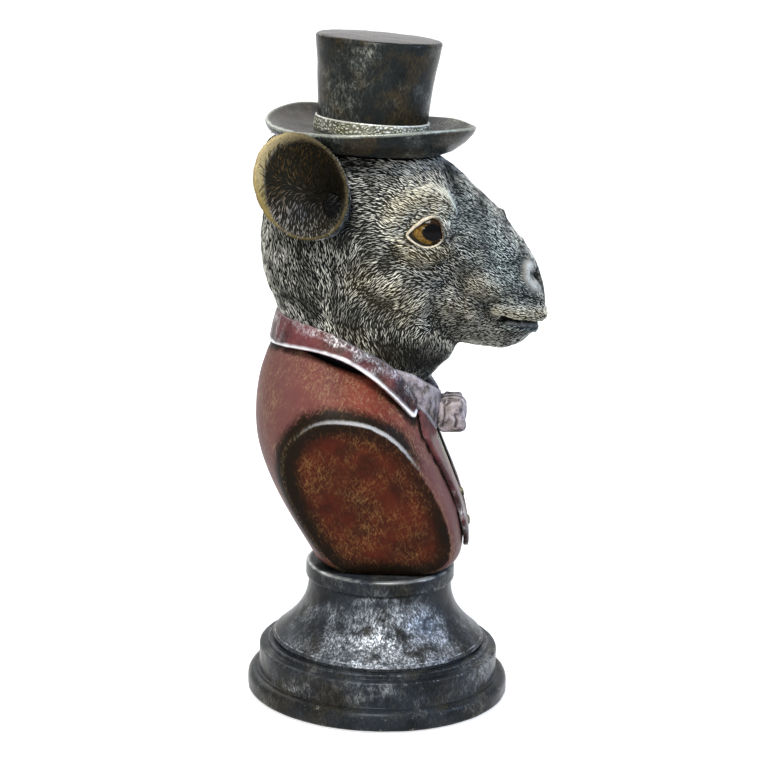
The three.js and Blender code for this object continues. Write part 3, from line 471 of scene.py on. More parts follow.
def fur_paint(name, light, gold_light, cool_sheen_light):
    """Dark carved fur: each tuft's own tone, silver on its ridge, with gold tints and a painted bluish
    sheen.
    """
    paint = Paint(name)
    ridge, tone, gold = paint.split(paint.attribute("coat", "Color"))
    cool_sheen = paint.attribute("coat", "Alpha")
    light = paint.mix(cool_sheen * 0.7, paint.mix(gold, light, gold_light), cool_sheen_light)
    deep = paint.mix(gold, (0.005, 0.005, 0.004), (0.014, 0.010, 0.004))
    deep = paint.mix(cool_sheen, deep, (0.004, 0.007, 0.009))
    bright = paint.step(ridge + tone * 0.45, 0.32, 0.75) * paint.math("MINIMUM", tone, 1.0)
    return paint.finish(paint.mix(bright, deep, light), 0.36, bright * 0.35, specular=0.06)


def fur_bed_paint():
    """What shows between the tufts, in the mouth and nostrils, on the lips and on the ears' rims, and the
    painted shade under the collar and in the ears' cups.
    """
    paint = Paint("fur ground")
    shine, slit_and_shade, gold = paint.split(paint.attribute("coat", "Color"))
    ground = paint.mix(gold, (0.008, 0.009, 0.008), (0.024, 0.018, 0.008))
    # A painted bluish sheen where the coat's alpha says
    ground = paint.mix(paint.attribute("coat", "Alpha"), ground, (0.008, 0.012, 0.015))
    ground = paint.mix(slit_and_shade, ground, (0.003, 0.003, 0.004))
    fine = paint.noise(1.0, 4, 0.7)
    rubbed = shine * paint.step(fine, 0.1, 0.6)
    colour = paint.mix(rubbed, ground, paint.mix(gold, (0.44, 0.44, 0.40), (0.45, 0.33, 0.11)))
    return paint.finish(colour, paint.blend(shine, 0.7, 0.4), rubbed * 0.3, paint.bump(fine, 0.12), 0.04)


def plain_paint(name, dark, light, size, roughness, metallic=0.0, depth=0.05, stretch=(1, 1, 1)):
    """A plain finish with fine mottling, for metal, felt and wood."""
    paint = Paint(name)
    grain = paint.noise(size, 4, 0.65, stretch)
    colour = paint.mix(paint.step(grain, 0.3, 0.7), dark, light)
    return paint.finish(colour, roughness, metallic, paint.bump(grain, depth))


def lid_paint():
    """Cream lids, with painted shade towards the face's front."""
    paint = Paint("eyelid cream")
    grain = paint.noise(1.6, 4, 0.65)
    cream = paint.mix(paint.step(grain, 0.3, 0.7), (0.42, 0.34, 0.22), (0.72, 0.66, 0.54))
    colour = paint.mix(paint.attribute("front"), cream, (0.07, 0.05, 0.03))
    return paint.finish(colour, 0.3, normal=paint.bump(grain, 0.05), specular=0.25)


def eye_paint():
    """A glass eye: a wide black pupil in an amber iris, by the angle from where it looks."""
    paint = Paint("amber glass")
    away = paint.attribute("away")
    streaks = paint.noise(1.2, 4, 0.7)
    amber = paint.mix(paint.step(streaks, 0.35, 0.65), (0.06, 0.03, 0.006), (0.24, 0.14, 0.03))
    shaded = paint.step(away + paint.attribute("lid_shade"), 0.6, 0.86)
    amber = paint.mix(shaded, amber, (0.02, 0.010, 0.004))
    colour = paint.mix(paint.step(away, 0.46, 0.39), amber, (0.001, 0.001, 0.0015))
    return paint.finish(colour, 0.04, specular=0.08)


jacket_finish, fur_bed, eye_finish, lid_finish = jacket_paint(), fur_bed_paint(), eye_paint(), lid_paint()
fur_finish = fur_paint("fur silver over black", (0.86, 0.85, 0.75), (0.80, 0.72, 0.46), (0.60, 0.72, 0.67))
hair_finish = fur_paint("ear hair brown", (0.56, 0.52, 0.44), (0.24, 0.145, 0.05), (0.07, 0.09, 0.16))
felt_finish = plain_paint("green felt", (0.008, 0.014, 0.007), (0.03, 0.05, 0.028), 0.6, 0.95, depth=0.25)
steel_finish = plain_paint("zinc plated steel", (0.32, 0.32, 0.31), (0.55, 0.55, 0.53), 1.5, 0.35, 0.9, 0.02)
beech_finish = plain_paint("beech", (0.42, 0.28, 0.15), (0.62, 0.45, 0.27), 1.2, 0.6, stretch=(1, 1, 9))
for node, finish in (("felt_pad", felt_finish), ("tie_rod", steel_finish), ("tie_rod_washer", steel_finish),
                     ("tie_rod_nut", steel_finish), ("hat_dowel", beech_finish)):
    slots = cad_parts[node].data.materials
    slots.clear()
    slots.append(finish)


# Pedestal: the outlines are those of the solids, with softer edges
PAD_TOP, ROLL_RADIUS, ROLL_TOP = 1.0, 78.9, 13.4
TIER_RADIUS, TIER_TOP, FOOT_TOP = 72.2, 29.2, 32.4
LIP_FOOT, FLARE_FOOT, FLARE_TOP = 34.2, 35.6, 71.3
RING_FOOT = COLUMN_TOP - 9.5


def handwork(mesh, depth, pitch, seed):
    """Moves each point along its normal by soft lumps, as hand polishing leaves them."""
    places = places_of(mesh)
    set_places(mesh, places + normals_of(mesh) * (lumps(places, pitch, seed) * depth)[:, None])


foot_outline = spaced(
    [(0, PAD_TOP)] + arc(ROLL_RADIUS - 2.3, PAD_TOP + 2.3, 2.2, -90, 0, 6)
    + arc(ROLL_RADIUS - 5.1, ROLL_TOP - 5, 5, 0, 90, 10)
    + arc(TIER_RADIUS + 1.0, ROLL_TOP + 1.1, 1.1, -90, -180, 4)
    + arc(TIER_RADIUS - 1.5, TIER_TOP - 1.5, 1.4, 0, 90, 5)
    + arc(67.3, TIER_TOP + 0.6, 0.6, -90, -180, 3)
    + arc(65.6, FOOT_TOP - 1.2, 1.1, 0, 90, 4) + [(0, FOOT_TOP)], 1.4)
column_flare = [(43 + 21 * (1 - i / 40) ** 2.35, FLARE_FOOT + (FLARE_TOP - FLARE_FOOT) * (i / 40) ** 0.96)
                for i in range(1, 41)]
column_outline = spaced(
    [(0, FOOT_TOP), (61.8, FOOT_TOP), (61.8, LIP_FOOT - 0.4)] + arc(62.5, LIP_FOOT + 0.5, 0.5, -135, -90, 2)
    + arc(63.2, LIP_FOOT + 0.7, 0.7, -90, 70, 5) + column_flare + [(42.9, RING_FOOT - 0.3)]
    + arc(43.6, RING_FOOT + 1.1, 1.1, -90, 0, 4) + arc(42.7, COLUMN_TOP - 2.1, 2, 0, 90, 5)
    + [(0, COLUMN_TOP)], 1.4)
for node, outline, seed in (("pedestal_foot", foot_outline, 1), ("pedestal_column", column_outline, 2)):
    mesh = mesh_of(turned(outline, 180), node + "_turned")
    handwork(mesh, 0.16, 9, seed)
    keep_wear(new_piece(node + "_turned", mesh, pedestal_paint, "gunmetal_resin", node), 0.22, 0, 3)
    spots = places_of(mesh)
    x, y, z = spots.T
    if node == "pedestal_foot":
        rubbed = -0.3 - 0.2 * (z < ROLL_TOP + 1)
    else:
        # Silver rub is thicker where the flare faces the camera and the back, and thinner at its sides and
        # top: partly a painted highlight in its middle and painted shade at its sides
        flare_rub_and_highlight = 0.15 + 0.5 * np.cos(2 * np.arctan2(y, -x)) - 0.7 * smooth_step(56, 69, z)
        rubbed = np.where(z > RING_FOOT - 1.5, -0.35, flare_rub_and_highlight)
    keep_values(mesh, "rubbed", rubbed)
    # A painted highlight along the ring's upper edge, broken by lumps
    ring_highlight = smooth_step(80.2, 81.2, z) * smooth_step(41.5, 43.5, np.hypot(x, y))
    keep_values(mesh, "bead", 0.8 * ring_highlight * np.clip(0.5 + lumps(spots, 12, 91), 0, 1))


# Clothes: even copies of the solids
torso = evened_copy("jacket", "torso", 1.5, 8, jacket_finish, "red_resin")


def distances(points, targets):
    """How far each point is from the nearest target, in millimetres."""
    tree = KDTree(len(targets))
    for i, target in enumerate(targets):
        tree.insert(target, i)
    tree.balance()
    return np.array([tree.find(point)[2] for point in points])


def node_points(*nodes):
    """The corners of solids, in millimetres."""
    return np.concatenate([places_of(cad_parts[node].data) for node in nodes])


spots, pairs = places_of(torso.data), edges_of(torso.data)
softer = smooth_step(5, 12, distances(spots, node_points("jacket_collar")))[:, None]
set_places(torso.data, spots * (1 - softer) + averaged(spots, pairs, 24) * softer)
spots, face_normals = places_of(torso.data), normals_of(torso.data)
lean_in, lean_out = math.sin(CUT_LEAN), math.cos(CUT_LEAN)
depth_in = (spots[:, 2] - COLUMN_TOP) * lean_in - (np.abs(spots[:, 0]) - CUT_FOOT) * lean_out
facing = np.abs(face_normals[:, 0]) * lean_out - face_normals[:, 2] * lean_in
on_cut = (depth_in < 1.3) & (facing > 0.9)
border = np.unique(pairs[on_cut[pairs[:, 0]] != on_cut[pairs[:, 1]]])
border = border[depth_in[border] < 4]
from_border = averaged(distances(spots, spots[border]), pairs, 3)
# Painted light round the arm cut: a highlight along its upper edge, and shade inside its border, outside its
# top and back, below the collar and lapels, and near the jacket's lower edge
cut_middle = spots[border][spots[border][:, 0] < 0].mean(0)
angle = np.arctan2(spots[:, 2] - cut_middle[2], cut_middle[1] - spots[:, 1])
crest_light_and_shade = np.clip(np.cos(angle - math.radians(84)), 0, 1) ** 2.4
hind = smooth_step(-0.2, 0.7, -np.cos(angle + 0.35))
from_collar = averaged(distances(spots, node_points("jacket_collar")), pairs, 3)
from_lapel = averaged(distances(spots, node_points("lapel_left", "lapel_right")), pairs, 3)
low_or_behind = np.clip(0.55 + 0.45 * np.maximum(-np.sin(angle), -np.cos(angle)), 0, 1)
shade_in = (1 - smooth_step(1, 17, from_border)) * (0.5 + 0.5 * low_or_behind)
shade_out = (1 - smooth_step(2, 15, from_border)) * np.clip(0.1 + np.maximum(crest_light_and_shade, hind), 0, 1)
shade_collar = np.maximum(1 - smooth_step(1.5, 9, from_collar), 0.9 - 0.9 * smooth_step(1, 5, from_lapel))
shade_foot = 1 - smooth_step(COLUMN_TOP, COLUMN_TOP + 12, spots[:, 2])
shade = np.maximum(shade_out, np.maximum(shade_collar, shade_foot))
mauve = np.maximum(smooth_step(15, 62, spots[:, 1]) * 0.85, smooth_step(0, -30, spots[:, 1]) * 0.9)
keep_values(torso.data, "cloth", np.stack([shade_in, shade, crest_light_and_shade, mauve], 1))


def spaced_points(points, pitch):
    """The points of a line with more between them, where they lie close enough to be joined."""
    made = []
    for a, b in zip(points, points[1:]):
        gap = np.linalg.norm(b - a)
        count = max(1, round(gap / pitch)) if gap < 12 else 1
        made += [a + (b - a) * i / count for i in range(count)]
    return np.array(made + [points[-1]])


# The bow's folds, by shares of its depth and height from its middle
BOW_FOLDS = [
    [(-0.5, 0.9), (-0.66, 0.3), (-0.56, -0.3), (-0.62, -0.9)],
    [(-0.62, 0.2), (-0.2, 0.52), (0.35, 0.58), (0.95, 0.86)],
    [(0.1, -0.95), (0.2, -0.6), (0.05, -0.35)],
]
KNOT_FOLDS = [[(share, -0.9), (share * 0.5, 0), (share, 0.9)] for share in (-0.7, 0.1, 0.75)]


def crumple(piece, is_knot):
    """Flares the bow's corners, pinches it at the knot and folds it, as gathered cloth does."""
    spots, face_normals = places_of(piece.data), normals_of(piece.data)
    ahead_share, up_share = (-spots[:, 1] - BOW_FORWARD) / 8, (spots[:, 2] - BOW_UP) / 10.5
    side = np.abs(spots[:, 0])
    if is_knot:
        folds, width = KNOT_FOLDS, 0.16
        seen = np.stack([spots[:, 0] / 3.6, up_share, 0 * side], 1)
        spots[:, 1] += 3.2 * np.clip(-ahead_share, 0, 1)
        spots[:, 2] -= 1.5 * np.clip(-up_share, 0, 1)
    else:
        folds, width = BOW_FOLDS, 0.1
        seen = np.stack([ahead_share, up_share, 0 * side], 1)
        corner = np.clip(np.abs(ahead_share * up_share), 0, 0.75) ** 1.5
        top_front = (ahead_share > 0) & (up_share > 0)
        fore = np.clip(ahead_share, 0, 1.2)
        spots[:, 1] -= (np.where(top_front, 4.2, 1.8) * np.sign(ahead_share) * corner
                        - 1.5 * fore * (1 - up_share ** 2))
        spots[:, 1] += 1.9 * np.clip(-ahead_share, 0, 1)
        spots[:, 2] += np.where(top_front, 3.0, 1.2) * np.sign(up_share) * corner
        pinch = 1 - 0.3 * smooth_step(9, 3.5, side)
        spots[:, 2] = BOW_UP + (spots[:, 2] - BOW_UP) * pinch
    crease = np.zeros(len(spots))
    for fold in folds:
        path = np.array([(*point, 0) for point in spaced(fold, 0.04)])
        crease = np.maximum(crease, np.exp(-(distances(seen, path) / width) ** 2))
    folded = spots * (1, 1, 1)
    folded[:, 0] = side * 0.7
    spots += face_normals * (0.6 * lumps(folded, 9, 71, 2) - 0.8 * crease)[:, None]
    set_places(piece.data, spots)
    keep_values(piece.data, "crack", crease * 0.6)


def around_neck(points):
    """Each point's turn round the neck in degrees, from the front."""
    return np.degrees(np.arctan2(points[:, 0], 20 - points[:, 1]))


for name, node, voxel, rounds, finish, slot in (
        ("collar", "jacket_collar", 0.8, 8, plum_paint, "plum_resin"),
        ("lapel_near", "lapel_right", 0.7, 8, plum_paint, "plum_resin"),
        ("lapel_far", "lapel_left", 0.7, 8, plum_paint, "plum_resin"),
        ("waistcoat_front", "waistcoat", 0.8, 8, gold_paint, "gold_resin"),
        ("shirt_bib", "shirt_front", 0.7, 6, ivory_paint, "ivory_resin"),
        ("cravat_band", "neck_band", 0.8, 8, mauve_paint, "mauve_resin"),
        ("cravat_knot", "bow_knot", 0.5, 6, mauve_paint, "mauve_resin"),
        ("bow_lobe_near", "bow_wing_right", 0.5, 6, mauve_paint, "mauve_resin"),
        ("bow_lobe_far", "bow_wing_left", 0.5, 6, mauve_paint, "mauve_resin"),
        ("button_upper", "waistcoat_button_1", 0.2, 4, gold_paint, "brass_resin"),
        ("button_lower", "waistcoat_button_2", 0.2, 4, gold_paint, "brass_resin")):
    piece = evened_copy(name, node, voxel, rounds, finish, slot)
    spots, face_normals = places_of(piece.data), normals_of(piece.data)
    if name == "collar":
        # A rounded bead runs along the lower edge, under patches of silver rub set where the lamps'
        # highlights fall: partly a painted highlight
        turns = around_neck(spots) // 2
        edge = np.array([spots[turns == t][spots[turns == t][:, 2].argmin()] for t in np.unique(turns)])
        edge[2:-2] = (edge[:-4] + edge[1:-3] + edge[2:-2] + edge[3:-1] + edge[4:]) / 5
        collar_turns, collar_foot = around_neck(edge), edge[:, 2]
        from_bead = distances(spots, spaced_points(edge, 0.6))
        spots = spots + face_normals * (1.0 * (1 - smooth_step(0, 2.8, from_bead)))[:, None]
        set_places(piece.data, spots)
        fore = -spots[:, 1]
        silver = 1.4 * np.exp(-((fore + 31) / 17) ** 2) + 0.6 * np.exp(-((fore - 2) / 10) ** 2)
        keep_values(piece.data, "bead", 1 - smooth_step(1.6, 2.8, from_bead))
        keep_values(piece.data, "rubbed", 1.1 * silver * smooth_step(3, 11, from_bead) - 0.15)
    elif name == "cravat_band":
        # Its rim falls towards the knot, and a little lower on the far side
        falling = 200.5 - 0.87 * (-spots[:, 1] - 20.4)
        rim = np.minimum(falling, 188.5 + 0.9 * np.maximum(0, np.abs(spots[:, 0]) - 8))
        rim += 1.5 - 4 * smooth_step(-3, 3, spots[:, 0])
        spots[:, 2] = np.where((spots[:, 1] < -18) & (spots[:, 2] > rim), rim, spots[:, 2])
        set_places(piece.data, spots)
    elif name in ("cravat_knot", "bow_lobe_near", "bow_lobe_far"):
        crumple(piece, name == "cravat_knot")
    elif name.startswith("lapel"):
        keep_values(piece.data, "rubbed", np.full(len(spots), -0.3))
    if name.startswith("lapel"):
        keep_wear(piece, 0.3, 0, 6)
    else:
        keep_wear(piece)


# Hat: turned in its own frame, then set on the head
def brim_warp(places):
    """Narrows the brim, sets it back, and dips and twists its rim, as in the solid."""
    x, y = places[:, 0].copy(), places[:, 1].copy()
    radius = np.hypot(x, y)
    share = np.clip((radius - 31.8) / 29.4, 0, 1)
    across, forward = x / np.maximum(radius, 1e-6), -y / np.maximum(radius, 1e-6)
    dip = math.tan(math.radians(2.5))
    lean = math.tan(math.radians(1.55)) * 0.87
    places[:, 0] = x * (1 - 0.13 * share)
    places[:, 1] = y + 0.7 * share
    places[:, 2] += share ** 2 * (61.2 * (forward * dip + across * lean) - 5.2 * forward * across)
    back_far = np.exp(-((np.arctan2(across, -forward) - math.radians(45)) / 0.42) ** 2)
    fore_far = np.exp(-((np.arctan2(across, forward) - math.radians(38)) / 0.36) ** 2)
    places[:, 2] += share ** 2 * (2.2 * back_far + 2.2 * fore_far)
    return places


def on_head(name, mesh, finish, slot, node, *wear):
    """Sets a part of the hat on the head, as a piece."""
    for step in (Matrix.Scale(1 / MM, 4), HAT_FRAME, Matrix.Scale(MM, 4)):
        mesh.transform(step)
    piece = new_piece(name, mesh, finish, slot, node)
    keep_wear(piece, *wear)
    return piece


brim_outline = spaced(
    [(0, 0), (31.8, 0), (41.5, 1.05), (49.4, 3.6), (56.2, 8.25), (59.7, 12), (60.9, 14.4), (61.15, 15.6)]
    + [(60.6, 16.4), (59.4, 16.5), (56.2, 15.2), (50, 12.6), (46.5, 11.6), (37.7, 10), (0, 10)], 1.6)
mesh = mesh_of(turned(brim_outline, 180), "brim")
spots = places_of(mesh)
out = np.hypot(spots[:, 0], spots[:, 1])
# A painted highlight along the rim's upper edge, broken by lumps and stronger towards the front
on_top = (spots[:, 2] > np.interp(out, (31.8, 50, 61), (6, 8.5, 15.6))).astype(float)
uneven = np.clip(0.55 + 0.8 * lumps(spots, 16, 77), 0.1, 1)
highlight_forward = 0.2 + 0.6 * smooth_step(30, 0, spots[:, 1])
keep_values(mesh, "bead", smooth_step(57.5, 60, out) * on_top * uneven * highlight_forward)
set_places(mesh, brim_warp(spots))
handwork(mesh, 0.25, 14, 3)
brim = on_head("brim", mesh, hat_paint, "gunmetal_resin", "hat_brim", 0.3, 0, 3)
spots, tops = places_of(brim.data), normals_of(brim.data)[:, 2]
# The brim's upper face, more towards the back, gets the plain grey of a painted reflection
keep_values(brim.data, "painted_sheen", smooth_step(0.6, 0.9, tops) * smooth_step(-5, 45, spots[:, 1]) * 0.8)

crown_outline = spaced(
    [(0, 10.3), (31.8, 10.3), (32.6, 26.98), (34.2, 46.44)] + arc(34.7, 63.8, 2, 0, 90, 6)
    + [(32, 66.05), (20, 66.7), (0, 67.1)], 1.8)
mesh = mesh_of(turned(crown_outline, 160), "crown")
handwork(mesh, 0.25, 12, 5)
crown = on_head("crown", mesh, hat_paint, "gunmetal_resin", "hat_crown", 0.3, 0, 3)
# The crown's flat top gets the plain grey of a painted reflection
keep_values(crown.data, "painted_sheen", smooth_step(0.9, 0.97, normals_of(crown.data)[:, 2]))

band_outline = spaced(
    [(32.1, 10.3), (33, 10.4), (33.5, 12), (33.5, 16.6), (33.2, 18.6), (32.5, 18.8), (32.1, 10.3)], 0.45)
mesh = mesh_of(turned(band_outline, 440), "scaled_band")
spots, face_normals = places_of(mesh), normals_of(mesh)
nearest = np.array([noise.voronoi(Vector((x, y, z * 1.2)) / 2.1)[0][:2] for x, y, z in spots])
scales = smooth_step(0.02, 0.4, nearest[:, 1] - nearest[:, 0])
between_edges = smooth_step(10.4, 11.4, spots[:, 2]) * smooth_step(18.6, 17.8, spots[:, 2])
outer = smooth_step(32.6, 33.2, np.hypot(spots[:, 0], spots[:, 1]))
set_places(mesh, spots + face_normals * ((scales - 0.5) * 0.7 * between_edges * outer)[:, None])
keep_values(mesh, "bead", 0.7 * smooth_step(17.6, 18.3, spots[:, 2]))
keep_values(mesh, "rubbed", 0.5 * smooth_step(10, -14, spots[:, 1]))
on_head("scaled_band", mesh, scale_paint, "gold_resin", "hat_band", 0.1, 0, 5)

# Head: an even copy, carved by brushes that work alike on both sides
head = evened_copy("head_skin", "head", 1.1, 30, fur_bed, "fur_resin")
head_form = form_of(head)


def side_path(points):
    """A path over the near cheek through places forward and up, with a point each millimetre or so."""
    made = []
    for forward, up in spaced(points, 1.2):
        hit = head_form.ray_cast(Vector((-200, -forward, up)) * MM, Vector((1, 0, 0)))[0]
        if hit:
            made.append(tuple(hit / MM))
    return np.array(made)


def muzzle_path(up_front, up_corner, last_turn):
    """A path round the muzzle, from its front to the near corner, by a turn in degrees."""
    made = []
    for share in np.linspace(0, 1, 46):
        angle = math.radians(last_turn * share)
        up = up_front + (up_corner - up_front) * share
        way = Vector((-math.sin(angle), -math.cos(angle), 0))
        hit = head_form.ray_cast(Vector((0, -58, up)) * MM, way)[0]
        if hit:
            made.append(tuple(hit / MM))
    return np.array(made)


def near(places, path, radius):
    """How near each place is to a path or its mirror image: 1 on it, and 0 at the radius and beyond."""
    folded = places * (1, 1, 1)
    folded[:, 0] = -np.abs(folded[:, 0])
    away = np.full(len(places), float(radius) ** 2)
    for point in np.atleast_2d(path):
        away = np.minimum(away, ((folded - point) ** 2).sum(1))
    return (1 - away / radius ** 2) ** 2


BROW = side_path([(35, 302), (31, 308), (24, 312), (15, 311), (7, 305), (3, 298)])
BROW_FRONT = side_path([(38, 314), (40, 306), (40.5, 298), (38.5, 290)])
LID_FOLD = side_path([(6, 293), (12, 299), (19, 305), (27, 307), (33, 303), (36, 296)])
UNDER_EYE = side_path([(9, 284), (15, 279), (23, 276.5), (31, 279)])
UNDER_FOLD = side_path([(4, 281), (11, 274), (21, 270), (31, 271), (41, 277)])
TEAR_FOLD = side_path([(34, 290), (41, 284), (50, 279)])
LIP_BUMP = side_path([(50, 260), (56, 258), (62, 254)])
CHEEK_BUMP = side_path([(38, 246), (45, 245), (52, 242)])
MOUTH_FOLD = side_path([(62, 250), (58, 247), (57, 243), (61, 239.5), (67, 238)])
CHEEK = side_path([(-8, 270), (2, 262), (10, 254), (16, 246)])
CHEEK_FOLD = side_path([(34, 262), (28, 253), (27, 243), (32, 234)])
JAW = side_path([(-22, 243), (-10, 236), (6, 232), (20, 231)])
NOSTRIL = side_path([(84.4, 264.6), (86.4, 262.2), (88, 259.8)])
NOSTRIL_RIM = side_path([(82, 270.5), (80, 267), (79.8, 262.5), (82, 258.5), (85.5, 256)])
NOSTRIL_SKIN = side_path([(82, 268), (82.5, 263), (85, 259), (88, 256.5)])
SLIT = muzzle_path(232.4, 239.2, 66)
UPPER_LIP = muzzle_path(236.6, 243.4, 76)
LOWER_LIP = muzzle_path(228.6, 235, 64)
LIP_SKIN = muzzle_path(230.2, 236.6, 62)
UPPER_FOLD = side_path([(64, 248), (70, 249.5), (78, 248), (85, 245)])
NOSE_BUMP = np.array([(0.0, -66.9, 297.6)])
LOWER_NOSE_BUMP = np.array([(0.0, -79.8, 280.8)])
CUP_FLOOR = np.array([(-37.0, 35.5, 307.0), (-40.0, 32.0, 303.0)])

# Each brush: its path, how wide it is, and how far it lifts the surface
BRUSHES = [
    (BROW, 9, 3.6), (BROW_FRONT, 11, -2.4), (LID_FOLD, 3.4, -1.4), (UNDER_EYE, 6.5, 2.3),
    (UNDER_FOLD, 6, -1.7), (TEAR_FOLD, 6, -1.8), (LIP_BUMP, 8, 2.8), (CHEEK_BUMP, 7, 2.4),
    (MOUTH_FOLD, 5.5, -3.2), (CHEEK, 15, 2.0), (CHEEK_FOLD, 8, -1.8), (JAW, 8, 1.2),
    (NOSTRIL_RIM, 4.4, 2.0), (NOSTRIL, 3.2, -4.6), (UPPER_LIP, 4.6, 2.1), (LOWER_LIP, 3.8, 1.5),
    (UPPER_FOLD, 5, -1.0), (NOSE_BUMP, 5, 2.2), (LOWER_NOSE_BUMP, 4, 1.0), (SLIT, 2.0, -3.6),
]
places, edges = places_of(head.data), edges_of(head.data)
lift = np.zeros(len(places))
for path, radius, rise in BRUSHES:
    lift += near(places, path, radius) * rise
lift += lumps(places, 13, 9) * 0.55
places += averaged(normals_of(head.data), edges, 3) * lift[:, None]

# The almond between the lids: the eye's ball shows inside it, and the lids lie close on the ball
ALMOND = [(-13.0, -1.9), (-10.0, 1.0), (-5.8, 4.6), (-1.5, 7.5), (1.7, 8.8), (4.8, 7.3), (6.8, 2.0),
          (7.6, -3.0), (4.9, -6.6), (-0.8, -8.2), (-6.6, -6.5), (-10.6, -3.9)]
EYE_TAIL = 1.32
LID_SKIN_RADIUS, LID_RADIUS = 12.62, 12.95
corner_turns = [math.atan2(up, forward) for forward, up in ALMOND]
corner_reach = [math.hypot(*corner) for corner in ALMOND]


def almond_reach(forward, up):
    """How far the lids' edge is from the eye's middle in each direction seen from the side."""
    turns = np.arctan2(up, forward)
    return np.interp(turns, corner_turns, corner_reach, period=math.tau)


def eased(forward):
    """The ball is drawn out towards its rear corner: this undoes that for a forward offset."""
    return np.where(forward < 0, forward / EYE_TAIL, forward)


def eye_offsets(points):
    """Each point's forward, up and outward offset from the nearer eye's middle."""
    return (-points[:, 1] - EYE_FORWARD, points[:, 2] - EYE_UP, np.abs(points[:, 0]) - EYE_SIDE)


def almond_share(points):
    """How far out from the eye's middle each point is: 1 at the lids' edge, and 9 away from both eyes."""
    forward, up, out = eye_offsets(points)
    share = np.hypot(forward, up) / almond_reach(forward, up)
    return np.where((out > -2) & (np.abs(up) < 30), share, 9.0)


forward, up, out = eye_offsets(places)
share = almond_share(places)
middle = np.stack([np.sign(places[:, 0]) * EYE_SIDE, np.full(len(places), -EYE_FORWARD),
                   np.full(len(places), EYE_UP)], 1)
away = np.linalg.norm(np.stack([out, eased(forward), up], 1), axis=1)
# Under the almond the skin is drawn in behind the ball, and round it the skin lies close on the ball
snug = np.where(share < 1.12, 9.4 + 3.4 * smooth_step(0.97, 1.12, share), 12.9)
held = 1 - smooth_step(1.2, 1.75, share)
wanted = away + (snug - away) * np.where(share < 3, held, 0)
places = middle + (places - middle) * (wanted / np.maximum(away, 1e-6))[:, None]
set_places(head.data, averaged(places, edges, 1))
even_out(head, 1.0, 1)


def lid_skin(name, side):
    """The skin that closes on the ball, from the almond out to the socket's edge."""
    bm = bmesh.new()
    bmesh.ops.create_uvsphere(bm, u_segments=160, v_segments=110, radius=LID_SKIN_RADIUS)
    bmesh.ops.scale(bm, vec=(1, EYE_TAIL, 1), verts=[v for v in bm.verts if v.co.y > 0])
    bmesh.ops.translate(bm, verts=bm.verts, vec=(side * EYE_SIDE, -EYE_FORWARD, EYE_UP))
    bm.verts.ensure_lookup_table()
    share = almond_share(np.array([v.co[:] for v in bm.verts]))
    unwanted = [v for v, s in zip(bm.verts, share) if s < 1.02 or s > 1.9 or abs(v.co.x) < EYE_SIDE + 1]
    bmesh.ops.delete(bm, geom=unwanted, context="VERTS")
    bmesh.ops.solidify(bm, geom=bm.faces[:], thickness=0.3)
    return new_piece(name, mesh_of(bm, name), fur_bed, "fur_resin")


lid_skins = [lid_skin("lid_skin_near", -1), lid_skin("lid_skin_far", 1)]
lid_beds = [form_of(piece) for piece in [head] + lid_skins]


def bed_out(side, forward, up):
    """How far out from the eye's middle the skin round the eye lies at a place forward and up."""
    start = Vector((side * 90, -EYE_FORWARD - forward, EYE_UP + up)) * MM
    hits = [form.ray_cast(start, Vector((-side, 0, 0)))[0] for form in lid_beds]
    return max(abs(hit.x) / MM - EYE_SIDE for hit in hits if hit)


def tube(name, points, radii, material, slot):
    """A closed cord of clay along a path, thicker where the radii say."""
    curve = bpy.data.curves.new(name, "CURVE")
    curve.dimensions = "3D"
    curve.bevel_depth = MM
    curve.bevel_resolution = 4
    curve.resolution_u = 6
    spline = curve.splines.new("NURBS")
    spline.points.add(len(points) - 1)
    for knot, point, radius in zip(spline.points, points, radii):
        knot.co = (*(np.array(point) * MM), 1)
        knot.radius = radius
    spline.order_u = 4
    spline.use_cyclic_u = True
    shape = bpy.data.objects.new(name + "_line", curve)
    bpy.context.scene.collection.objects.link(shape)
    bpy.context.view_layer.update()
    mesh = bpy.data.meshes.new_from_object(shape.evaluated_get(bpy.context.evaluated_depsgraph_get()))
    bpy.data.objects.remove(shape)
    mesh.name = name
    return new_piece(name, mesh, material, slot)


for name, side in (("lids_near", -1), ("lids_far", 1)):
    points, radii = [], []
    for turn in np.linspace(0, math.tau, 40, endpoint=False):
        thick = 0.55 + 0.55 * max(0.0, math.sin(turn - 0.75)) ** 1.5
        reach = float(almond_reach(math.cos(turn), math.sin(turn))) + thick * 0.55
        forward, up = reach * math.cos(turn), reach * math.sin(turn)
        out = math.sqrt(max(0.0, LID_RADIUS ** 2 - up ** 2 - eased(forward) ** 2))
        out = max(out, min(bed_out(side, forward, up), out + 3) - 0.05)
        points.append((side * (EYE_SIDE + out), -(EYE_FORWARD + forward), EYE_UP + up))
        radii.append(thick)
    lids = tube(name, points, radii, lid_finish, "fur_resin")
    forward, up, out = eye_offsets(places_of(lids.data))
    # Painted shade on the front of the lids, except low down, where the eye's front lies in shadow
    keep_values(lids.data, "front", smooth_step(0, 5, forward) * smooth_step(-7, -2, up))


# Where the coat is gold, shows a painted bluish sheen, carries painted shade, or is pale and partly a
# painted highlight: each path, its width, and how much
GOLD_PATCHES = [
    (side_path([(8, 304), (18, 309), (27, 308)]), 18, 0.55), (UNDER_EYE, 13, 0.7),
    (side_path([(-12, 262), (0, 254), (10, 246)]), 22, 0.6), (LIP_BUMP, 12, 0.6), (UPPER_LIP, 6, 0.9),
    (CHEEK_BUMP, 11, 0.4), (side_path([(-20, 225), (-5, 215)]), 26, 0.5),
]
